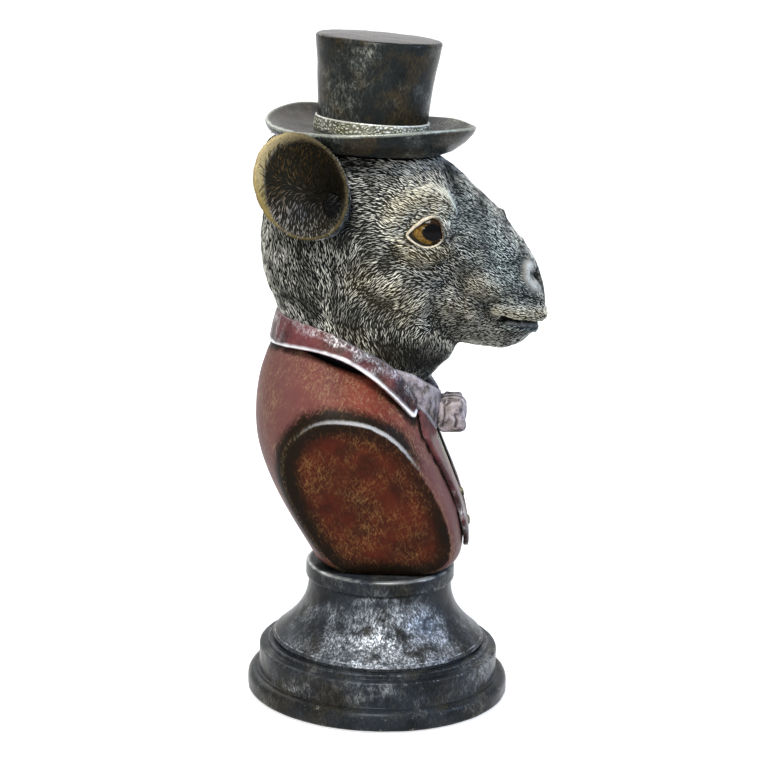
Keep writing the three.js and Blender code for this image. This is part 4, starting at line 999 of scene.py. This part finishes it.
# Painted bluish sheen of the window light: on the nose bridge over cool grey-green paint, and on the lower
# lip
COOL_SHEEN_PATCHES = [(side_path([(45, 300), (60, 285), (74, 262)]), 24, 1.0), (LOWER_LIP, 5, 1.0)]
SHADE_PATCHES = [
    (BROW_FRONT, 8, 0.55), (MOUTH_FOLD, 7, 0.6), (CHEEK_FOLD, 9, 0.3), (SLIT, 3.4, 0.8),
    (side_path([(30, 212), (16, 214), (2, 222)]), 18, 0.85), (side_path([(-31, 275), (-30, 240)]), 4, 0.6),
    (side_path([(-38, 300), (-30, 290)]), 12, 0.6),
    (side_path([(-36, 302), (-38, 308), (-36, 314)]), 14, 1.0),
    (side_path([(-10, 215), (8, 208), (24, 204)]), 14, 0.5),
    (side_path([(-22, 248), (-10, 243), (4, 238)]), 14, 0.4), (CUP_FLOOR, 24, 1.0),
]
# Cream dry-brushing, partly a painted highlight on the raised forms where the top light falls
PALE_AND_HIGHLIGHT_PATCHES = [
    (BROW, 17, 1.15), (UPPER_LIP, 9, 0.6), (side_path([(2, 262), (12, 257), (22, 253), (30, 252)]), 14, 0.3),
    (side_path([(12, 279), (22, 277)]), 9, 0.3), (side_path([(54, 268), (62, 262), (70, 258)]), 17, 0.25),
    (side_path([(48, 300), (55, 288), (62, 276)]), 12, 0.2), (LIP_BUMP, 8, 0.5), (CHEEK_BUMP, 6, 0.4),
    (side_path([(84, 272), (87, 268)]), 7, 0.4), (side_path([(8, 326), (22, 322)]), 14, 0.25),
]


def patch_share(points, patches):
    """How much of the strongest patch reaches each point."""
    total = np.zeros(len(points))
    for path, radius, amount in patches:
        total = np.maximum(total, near(points, path, radius) * amount)
    return total


# The way that the coat lies, by places forward and up: from root to tip
COAT_WAYS = np.array([
    (57, 281, -1, 0.35), (78, 258, -0.8, 0.6), (75, 246, -1, -0.1), (66, 231, -1, -0.2),
    (43, 261, -0.8, 0.6), (22, 276, -0.8, 0.5), (2, 287, -1, 0.1), (5, 258, -0.85, -0.5),
    (22, 240, -0.95, -0.3), (-12, 252, -0.7, -0.7), (-30, 281, -0.1, -1), (-31, 258, 0, -1),
    (-53, 270, 0.5, -0.85), (-47, 246, 0.6, -0.8), (-12, 231, 0.3, -0.95), (11, 223, 0.2, -1),
    (28, 226, -0.3, -0.9), (34, 323, -0.6, 0.8), (5, 317, -0.85, 0.5), (20, 308, -1, 0.15),
    (-12, 331, -1, 0.2), (-15, 302, -1, -0.1), (47, 297, -1, 0.35), (60, 262, -0.9, 0.5),
    (-60, 300, 0.1, -1), (-60, 240, 0.4, -0.9), (30, 205, -0.1, -1), (0, 205, 0.2, -1),
])


def coat_way(points, face_normals):
    """The way of the coat at each point, laid along the surface."""
    forward, up = -points[:, 1], points[:, 2]
    away = ((forward[:, None] - COAT_WAYS[:, 0]) ** 2 + (up[:, None] - COAT_WAYS[:, 1]) ** 2) + 9
    share = away ** -1.6
    share /= share.sum(1, keepdims=True)
    ahead_way, up_way = share @ COAT_WAYS[:, 2], share @ COAT_WAYS[:, 3]
    turn = lumps(points, 16, 21, 2) * 0.35 + rng.normal(0, 0.2, len(points))
    cos, sin = np.cos(turn), np.sin(turn)
    ahead_way, up_way = ahead_way * cos - up_way * sin, ahead_way * sin + up_way * cos
    way = np.stack([np.zeros(len(points)), -ahead_way, up_way], 1)
    way -= face_normals * (way * face_normals).sum(1, keepdims=True)
    return way / np.maximum(np.linalg.norm(way, axis=1, keepdims=True), 1e-6)


def tuft_form():
    """One tuft, a millimetre long: a sharp ridge that tapers to a point at both ends."""
    bm = bmesh.new()
    bmesh.ops.create_cone(bm, cap_ends=False, segments=3, radius1=0.62, radius2=0.5, depth=0.36)
    bmesh.ops.rotate(bm, verts=bm.verts, cent=(0, 0, 0), matrix=Matrix.Rotation(math.pi / 2, 3, "Y"))
    bmesh.ops.translate(bm, verts=bm.verts, vec=(0.46, 0, 0.1))
    for end, tip in ((0.28, 0.0), (0.64, 1.0)):
        loop = [e for e in bm.edges if e.is_boundary and all(abs(v.co.x - end) < 0.03 for v in e.verts)]
        grown = bmesh.ops.extrude_edge_only(bm, edges=loop)["geom"]
        ends = [v for v in grown if isinstance(v, bmesh.types.BMVert)]
        bmesh.ops.pointmerge(bm, verts=ends, merge_co=(tip, 0, 0.05))
    bmesh.ops.recalc_face_normals(bm, faces=bm.faces)
    bmesh.ops.triangulate(bm, faces=bm.faces)
    form = bpy.data.meshes.new("tuft")
    bm.to_mesh(form)
    bm.free()
    corners = np.empty(len(form.vertices) * 3)
    form.vertices.foreach_get("co", corners)
    faces = np.empty(len(form.polygons) * 3, np.int64)
    form.polygons.foreach_get("vertices", faces)
    bpy.data.meshes.remove(form)
    return corners.reshape(-1, 3), faces.reshape(-1, 3)


TUFT_CORNERS, TUFT_FACES = tuft_form()
LONGEST_TUFT, ROOTS_PER_AREA = 6.3, 3.0


def lay_tufts(name, roots, ways, face_normals, lengths, widths, heights, coats, finish):
    """Lays a tuft at each root, as one piece. Coats are each tuft's tone, gold and painted bluish sheen."""
    sides = np.cross(face_normals, ways)
    corners = (TUFT_CORNERS[None, :, :1] * (ways * lengths[:, None])[:, None]
               + TUFT_CORNERS[None, :, 1:2] * (sides * widths[:, None])[:, None]
               + TUFT_CORNERS[None, :, 2:] * (face_normals * heights[:, None])[:, None]
               + roots[:, None])
    faces = TUFT_FACES[None] + (np.arange(len(roots)) * len(TUFT_CORNERS))[:, None, None]
    mesh = bpy.data.meshes.new(name)
    mesh.vertices.add(corners.size // 3)
    mesh.loops.add(faces.size)
    mesh.polygons.add(faces.size // 3)
    mesh.vertices.foreach_set("co", (corners * MM).ravel())
    mesh.loops.foreach_set("vertex_index", faces.ravel())
    mesh.polygons.foreach_set("loop_start", np.arange(0, faces.size, 3))
    mesh.update(calc_edges=True)
    ridge = smooth_step(0.0, 0.6, TUFT_CORNERS[:, 2])
    coat = np.empty((len(roots), len(TUFT_CORNERS), 4))
    coat[:, :, 0] = ridge[None]
    coat[:, :, 1:] = coats[:, None, :]
    keep_values(mesh, "coat", coat.reshape(-1, 4))
    new_piece(name, mesh, finish, "fur_resin")


others = [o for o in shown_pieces() if o != head and not o.name.startswith(("ear", "lid", "eye"))]
covers = [form_of(piece) for piece in others]


def uncovered(points, face_normals, gap):
    """Whether each point lies open, with nothing over it within the gap in millimetres."""
    open_here = np.ones(len(points), bool)
    for i, (point, normal) in enumerate(zip(points, face_normals)):
        start = Vector(point + normal * 0.15) * MM
        open_here[i] = not any(cover.ray_cast(start, Vector(normal), gap * MM)[0] for cover in covers)
    return open_here


def random_roots(mesh, count):
    """So many random places on a mesh, with the normal at each."""
    mesh.calc_loop_triangles()
    triangles = np.empty(len(mesh.loop_triangles) * 3, np.int64)
    mesh.loop_triangles.foreach_get("vertices", triangles)
    areas = np.empty(len(mesh.loop_triangles))
    mesh.loop_triangles.foreach_get("area", areas)
    corners = triangles.reshape(-1, 3)[rng.choice(len(areas), count, p=areas / areas.sum())]
    shares = np.sort(rng.random((count, 2)), axis=1)
    shares = np.stack([shares[:, 0], shares[:, 1] - shares[:, 0], 1 - shares[:, 1]], 1)[:, :, None]
    return (places_of(mesh)[corners] * shares).sum(1), (normals_of(mesh)[corners] * shares).sum(1)


def apart(points, ways, along, across):
    """Which points stay when each keeps so much clear along and across the coat's way."""
    tree = KDTree(len(points))
    for i, point in enumerate(points):
        tree.insert(point, i)
    tree.balance()
    taken = [False] * len(points)
    claims = zip(points, ways.tolist(), along.tolist(), across.tolist())
    for i, (point, way, reach, side) in enumerate(claims):
        centre, heading = Vector(point), Vector(way)
        for place, j, gap in tree.find_range(centre, reach):
            if taken[j]:
                run = (place - centre).dot(heading)
                if (run / reach) ** 2 + (gap * gap - run * run) / side ** 2 < 1:
                    break
        else:
            taken[i] = True
    return np.array(taken)


def fur_over(name, piece, length, keep, way_of, coats_of, tufts, finish=fur_finish):
    """Covers a piece with tufts where keep says, each clear of the next along and across the coat.

    Tufts give how much the lengths vary, the width and height of the longest tuft, and its clear space.
    """
    spread, width, height, clear = tufts
    area = sum(p.area for p in piece.data.polygons) / MM ** 2
    spots, face_normals = random_roots(piece.data, int(area * ROOTS_PER_AREA))
    chosen = keep(spots, face_normals)
    spots, face_normals = spots[chosen], face_normals[chosen]
    ways = way_of(spots, face_normals)
    lengths = length(spots)
    scale = lengths / LONGEST_TUFT
    chosen = apart(spots, ways, clear[0] * scale, clear[1] * scale ** 0.7)
    spots, face_normals, ways, lengths = (part[chosen] for part in (spots, face_normals, ways, lengths))
    chosen = uncovered(spots, face_normals, 2.5)
    spots, face_normals, ways, lengths = (part[chosen] for part in (spots, face_normals, ways, lengths))
    lengths = lengths * rng.uniform(1 - spread, 1 + spread, len(spots))
    coats = np.stack(coats_of(spots), 1)
    near_side, fore = spots[:, 0] < 0, spots[:, 1] < -16
    for part, mask in (("near_front", near_side & fore), ("far_front", ~near_side & fore),
                       ("near_back", near_side & ~fore), ("far_back", ~near_side & ~fore)):
        if mask.any():
            scale = lengths[mask] / LONGEST_TUFT
            widths = width * scale ** 0.7 * rng.uniform(0.75, 1.2, mask.sum())
            heights = height * scale ** 0.5 * rng.uniform(0.7, 1.3, mask.sum())
            lay_tufts(f"{name}_{part}", spots[mask], ways[mask], face_normals[mask], lengths[mask],
                      widths, heights, coats[mask], finish)


def head_coat(points):
    """Each tuft's tone, gold and painted bluish sheen."""
    golds = patch_share(points, GOLD_PATCHES) * (0.7 + 0.5 * lumps(points, 8, 31, 2))
    cool_sheens = patch_share(points, COOL_SHEEN_PATCHES)
    tones = rng.choice([1.0, 0.7, 0.4, 0.15], len(points), p=[0.42, 0.3, 0.18, 0.1])
    # Painted shade: tufts darker in the folds, under the jaw, at the ears' roots and in their cups
    tones *= 1 - patch_share(points, SHADE_PATCHES)
    tones *= np.clip(0.8 + 0.75 * lumps(points, 14, 41, 3), 0.2, 1.05) * 0.88
    tones += 0.75 * patch_share(points, PALE_AND_HIGHLIGHT_PATCHES)
    return np.clip(tones, 0, 1.6), np.clip(golds, 0, 1), np.clip(cool_sheens, 0, 1)


def below_collar(points):
    """Which points of the neck lie below the collar's upper half."""
    turns = around_neck(points)
    return (points[:, 2] < np.interp(turns, collar_turns, collar_foot) + 5) & (np.abs(turns) > 30)


def head_keep(points, _):
    """Which points of the head carry fur: not the eye, nostril, lips, or what the collar hides."""
    bare = (almond_share(points) < 1.1) | (near(points, SLIT, 3.0) > 0.02)
    bare |= (near(points, NOSTRIL_SKIN, 5.5) > 0.05) | (near(points, LIP_SKIN, 2.2) > 0.02)
    return ~bare & (points[:, 2] > 188) & ~below_collar(points)


def head_length(points):
    """Shorter fur on the muzzle, and longer on the throat."""
    forward, up = -points[:, 1], points[:, 2]
    short = smooth_step(10, 60, forward)
    low = smooth_step(250, 215, up) * smooth_step(30, -10, forward)
    return 4.3 - 1.7 * short + 2.0 * low


def skin_keep(points, face_normals):
    """Which points of a lid's skin carry fur: outside the almond, on the skin's outer face."""
    faces_out = eye_offsets(points + face_normals)[2] > eye_offsets(points)[2]
    return (almond_share(points) > 1.12) & faces_out


def keep_coat(mesh, *parts):
    """Keeps how far each point shines, how dark it is in the mouth, the nostrils and painted shade,
    how gold it is and how much painted bluish sheen it has, for the ground between tufts.
    """
    parts = [np.broadcast_to(part, len(mesh.vertices)) for part in parts]
    keep_values(mesh, "coat", np.stack(parts, 1))


HEAD_TUFTS = (0.25, 0.6, 0.62, (3.4, 0.88))
fur_over("head_fur", head, head_length, head_keep, coat_way, head_coat, HEAD_TUFTS)
for skin in lid_skins:
    fur_over(skin.name + "_fur", skin, head_length, skin_keep, coat_way, head_coat, HEAD_TUFTS)
    keep_coat(skin.data, 0.1, 0, patch_share(places_of(skin.data), GOLD_PATCHES), 0)
spots = places_of(head.data)
# Near black in the mouth's slit and the nostrils, and painted shade at the ear cup's floor and below the
# collar
slits_and_shade = near(spots, SLIT, 2.6) * 1.6 + near(spots, NOSTRIL, 2.4) * 2.5 + near(spots, CUP_FLOOR, 18) * 3
slits_and_shade = np.maximum(np.clip(slits_and_shade, 0, 1), below_collar(spots))
sideways = smooth_step(0.0, 0.4, np.abs(normals_of(head.data)[:, 0]))
shine = near(spots, NOSTRIL_SKIN, 7.6) * 1.25 * sideways + near(spots, LIP_SKIN, 2.6) * 0.5
shine = np.clip(shine, 0, 1) * (1 - slits_and_shade)
shine = np.maximum(shine, 0.1 * patch_share(spots, PALE_AND_HIGHLIGHT_PATCHES) * (1 - slits_and_shade))
keep_coat(head.data, shine, slits_and_shade, patch_share(spots, GOLD_PATCHES) * (1 - shine),
          patch_share(spots, COOL_SHEEN_PATCHES))

# Ears: the cup is lined with long dark hair, and its rim is rubbed gold
EAR_ROOT, EAR_MOUTH = np.array((37.0, 35.5, 307.0)), np.array((64.3, 50.2, 320.25))
RIM_HALF_LENGTH, RIM_HALF_HEIGHT = 27.2, 30.6
RIM_ALONG = np.array((0.36, 0.93, 0.05)) / math.hypot(0.36, 0.93, 0.05)
RIM_UPRIGHT = np.array((0.03, 0.17, 0.98)) / math.hypot(0.03, 0.17, 0.98)
CUP_TUFTS, BACK_TUFTS = (0.3, 0.6, 0.55, (3.9, 0.8)), (0.25, 0.62, 0.55, (3.8, 0.95))


def furred_ear(name, node, side, drop):
    """One ear, set lower by a drop. The far ear's rear top is drawn in, where it would show too much."""
    ear = evened_copy(name, node, 0.9, 14, fur_bed, "fur_resin")
    root = EAR_ROOT * (side, 1, 1) - (0, 0, drop)
    mouth = EAR_MOUTH * (side, 1, 1) - (0, 0, drop)
    axis = (mouth - root) / np.linalg.norm(mouth - root)
    turns = np.linspace(0, math.tau, 90, endpoint=False)[:, None]
    rim_line = (mouth + RIM_HALF_LENGTH * np.cos(turns) * RIM_ALONG * (side, 1, 1)
                + RIM_HALF_HEIGHT * np.sin(turns) * RIM_UPRIGHT * (side, 1, 1))

    def rim_shares(points):
        """How far in from the rim each point is, as a share of the gold band's width there."""
        forward, up = mouth[1] - points[:, 1], points[:, 2] - mouth[2]
        hind = smooth_step(-0.1, 0.95, (-0.86 * forward + 0.5 * up) / 28)
        return distances(points, rim_line) / (1.4 + 7.2 * hind)

    def length_within(least, most):
        """A length for each tuft that grows with its way to the rim."""
        return lambda points: np.clip(distances(points, rim_line) * 0.8, least, most)

    def cup_way(points, point_normals):
        """Out from the ear's axis and towards its mouth, with swirls."""
        radial = points - root
        way = radial - (radial @ axis)[:, None] * axis + 0.5 * axis
        way -= point_normals * (way * point_normals).sum(1, keepdims=True)
        way /= np.maximum(np.linalg.norm(way, axis=1, keepdims=True), 1e-6)
        turn = lumps(points, 14, 61, 2) * 0.6 + rng.normal(0, 0.18, len(points))
        return way * np.cos(turn)[:, None] + np.cross(point_normals, way) * np.sin(turn)[:, None]

    def cup_keep(points, point_normals):
        return (point_normals @ axis > -0.1) & (rim_shares(points) > 0.8)

    def back_keep(points, point_normals):
        return (point_normals @ axis < 0.0) & (rim_shares(points) > 0.9)

    def cup_coat(points):
        """Gold above, pale and then a painted blue sheen below, and painted shade near black deep in the
        cup.
        """
        forward, up = mouth[1] - points[:, 1], points[:, 2] - mouth[2]
        low = smooth_step(4, -20, up)
        deep = np.exp(-((forward - 15) / 14) ** 2 - ((up + 3) / 15) ** 2)
        blue_sheen = np.exp(-((forward - 3) / 14) ** 2 - ((up + 15) / 8) ** 2)
        tones = rng.choice([0.9, 0.55, 0.1], len(points), p=[0.35, 0.3, 0.35]) * (1 - 0.95 * deep)
        return tones * (0.5 + 0.5 * low), 1 - 0.85 * low, blue_sheen

    spots, face_normals = places_of(ear.data), normals_of(ear.data)
    shares = rim_shares(spots)
    bulge = (1 - smooth_step(0.3, 1.1, shares)) * 0.9
    spots = spots + face_normals * (lumps(spots, 12, 51) * 0.5 + bulge)[:, None]
    if side > 0:
        hind_top = smooth_step(2, 18, spots[:, 2] - mouth[2]) * smooth_step(0, 12, spots[:, 1] - mouth[1])
        spots = spots + (mouth - spots) * (0.3 * hind_top)[:, None]
    set_places(ear.data, spots)
    fur_over(f"{name}_hair", ear, length_within(1.8, 6.0), cup_keep, cup_way, cup_coat, CUP_TUFTS,
             hair_finish)
    fur_over(f"{name}_back", ear, length_within(1.6, 4.2), back_keep, cup_way, head_coat, BACK_TUFTS)
    rubbed = 1 - smooth_step(0.6, 1.15, shares)
    # On the far ear the rim's gold gives way to dark at the rear top: painted shade where the brim's shadow
    # falls
    if side > 0:
        rubbed *= 1 - smooth_step(0, 10, spots[:, 2] - mouth[2]) * smooth_step(-8, 4, spots[:, 1] - mouth[1])
    height = smooth_step(-18, 16, spots[:, 2] - mouth[2])
    hind = smooth_step(6, -20, mouth[1] - spots[:, 1])
    keep_coat(ear.data, rubbed * (0.18 + 0.72 * hind * (0.45 + 0.55 * height)), 0,
              0.3 + 0.7 * rubbed * (1 - 0.35 * height), 0)


furred_ear("ear_near", "ear_right", -1, 0)
furred_ear("ear_far", "ear_left", 1, 2.6)

# Eyes: drawn out towards the rear corner, and painted by the angle from where they look
for name, node, side in (("eye_near", "eye_right", -1), ("eye_far", "eye_left", 1)):
    middle = (side * EYE_SIDE, -EYE_FORWARD, EYE_UP)
    bm = bmesh.new()
    bmesh.ops.create_uvsphere(bm, u_segments=64, v_segments=40, radius=EYE_RADIUS)
    bmesh.ops.scale(bm, vec=(1, EYE_TAIL, 1), verts=[v for v in bm.verts if v.co.y > 0])
    bmesh.ops.translate(bm, verts=bm.verts, vec=middle)
    mesh = mesh_of(bm, name)
    gaze = np.array((side * 11.8, -2.0, 0.35)) / math.hypot(11.8, 2.0, 0.35)
    around = (places_of(mesh) - middle) / EYE_RADIUS
    around[:, 1] = -eased(-around[:, 1])
    toward = around @ gaze
    away = np.where(toward > 0, np.sqrt(np.clip(1 - toward ** 2, 0, 1)), 1.0)
    shaded = smooth_step(-0.05, 0.4, -around[:, 1]) * 0.85 + smooth_step(0.1, 0.55, around[:, 2]) * 0.5
    keep_values(mesh, "away", away)
    keep_values(mesh, "lid_shade", shaded)
    new_piece(name, mesh, eye_finish, "eye", node)


# Light: a soft studio, with a cool window at the front right
def lamp(name, place, target, size, watts, colour):
    """A square lamp, turned to a target."""
    data = bpy.data.lights.new(name, "AREA")
    data.size, data.energy, data.color = size, watts, colour
    light = bpy.data.objects.new(name, data)
    light.location = place
    light.rotation_euler = (Vector(target) - Vector(place)).to_track_quat("-Z", "Y").to_euler()
    bpy.context.scene.collection.objects.link(light)


lamp("key", (-1.3, 0.15, 2.0), (0, 0, 0.22), 0.6, 52, (1, 0.985, 0.96))
lamp("catch light", (-1.55, 0.5, 0.72), (0, 0, 0.28), 0.2, 7, (1, 1, 1))
lamp("window", (-0.4, -1.75, 1.0), (0, 0, 0.22), 0.7, 20, (0.42, 0.62, 1))
lamp("back", (1.2, 0.9, 1.3), (0, 0, 0.25), 1.2, 12, (1, 1, 1))


def show(tree, kind, shader, white):
    """Shows white to the camera and in metal and glass, and the shader to all other light."""
    path = tree.node("LightPath")
    rays = [tree.output(path, f"Is {ray} Ray") for ray in ("Camera", "Glossy", "Transmission")]
    shown = tree.node("MixShader", {"Fac": tree.most(*rays), 1: shader, 2: white})
    tree.node("Output" + kind, {"Surface": tree.output(shown, "Shader")})


world = bpy.data.worlds.new("studio")
bpy.context.scene.world = world
world.use_nodes = True
tree = Tree(world.node_tree)
sky = tree.output(tree.node("Background", {"Color": (0.97, 0.985, 1), "Strength": 0.2}), "Background")
white = tree.output(tree.node("Background", {"Color": (1, 1, 1), "Strength": 1}), "Background")
show(tree, "World", sky, white)

floor_material = bpy.data.materials.new("pale floor")
floor_material.use_nodes = True
tree = Tree(floor_material.node_tree)
matte = tree.output(tree.node("BsdfDiffuse", {"Color": (0.6, 0.6, 0.6)}), "BSDF")
reach = tree.output(tree.node("VectorMath", {0: tree.places()}, operation="LENGTH"), "Value")
glow = tree.node("Emission", {"Strength": tree.step(reach, 0.15, 1.2, (0.74, 1))})
both = tree.node("AddShader", {0: matte, 1: tree.output(glow, "Emission")})
show(tree, "Material", matte, tree.output(both, "Shader"))
bm = bmesh.new()
bmesh.ops.create_circle(bm, cap_ends=True, segments=96, radius=6000)
mesh = mesh_of(bm, "floor")
mesh.materials.append(floor_material)
floor = bpy.data.objects.new("floor", mesh)
bpy.context.scene.collection.objects.link(floor)
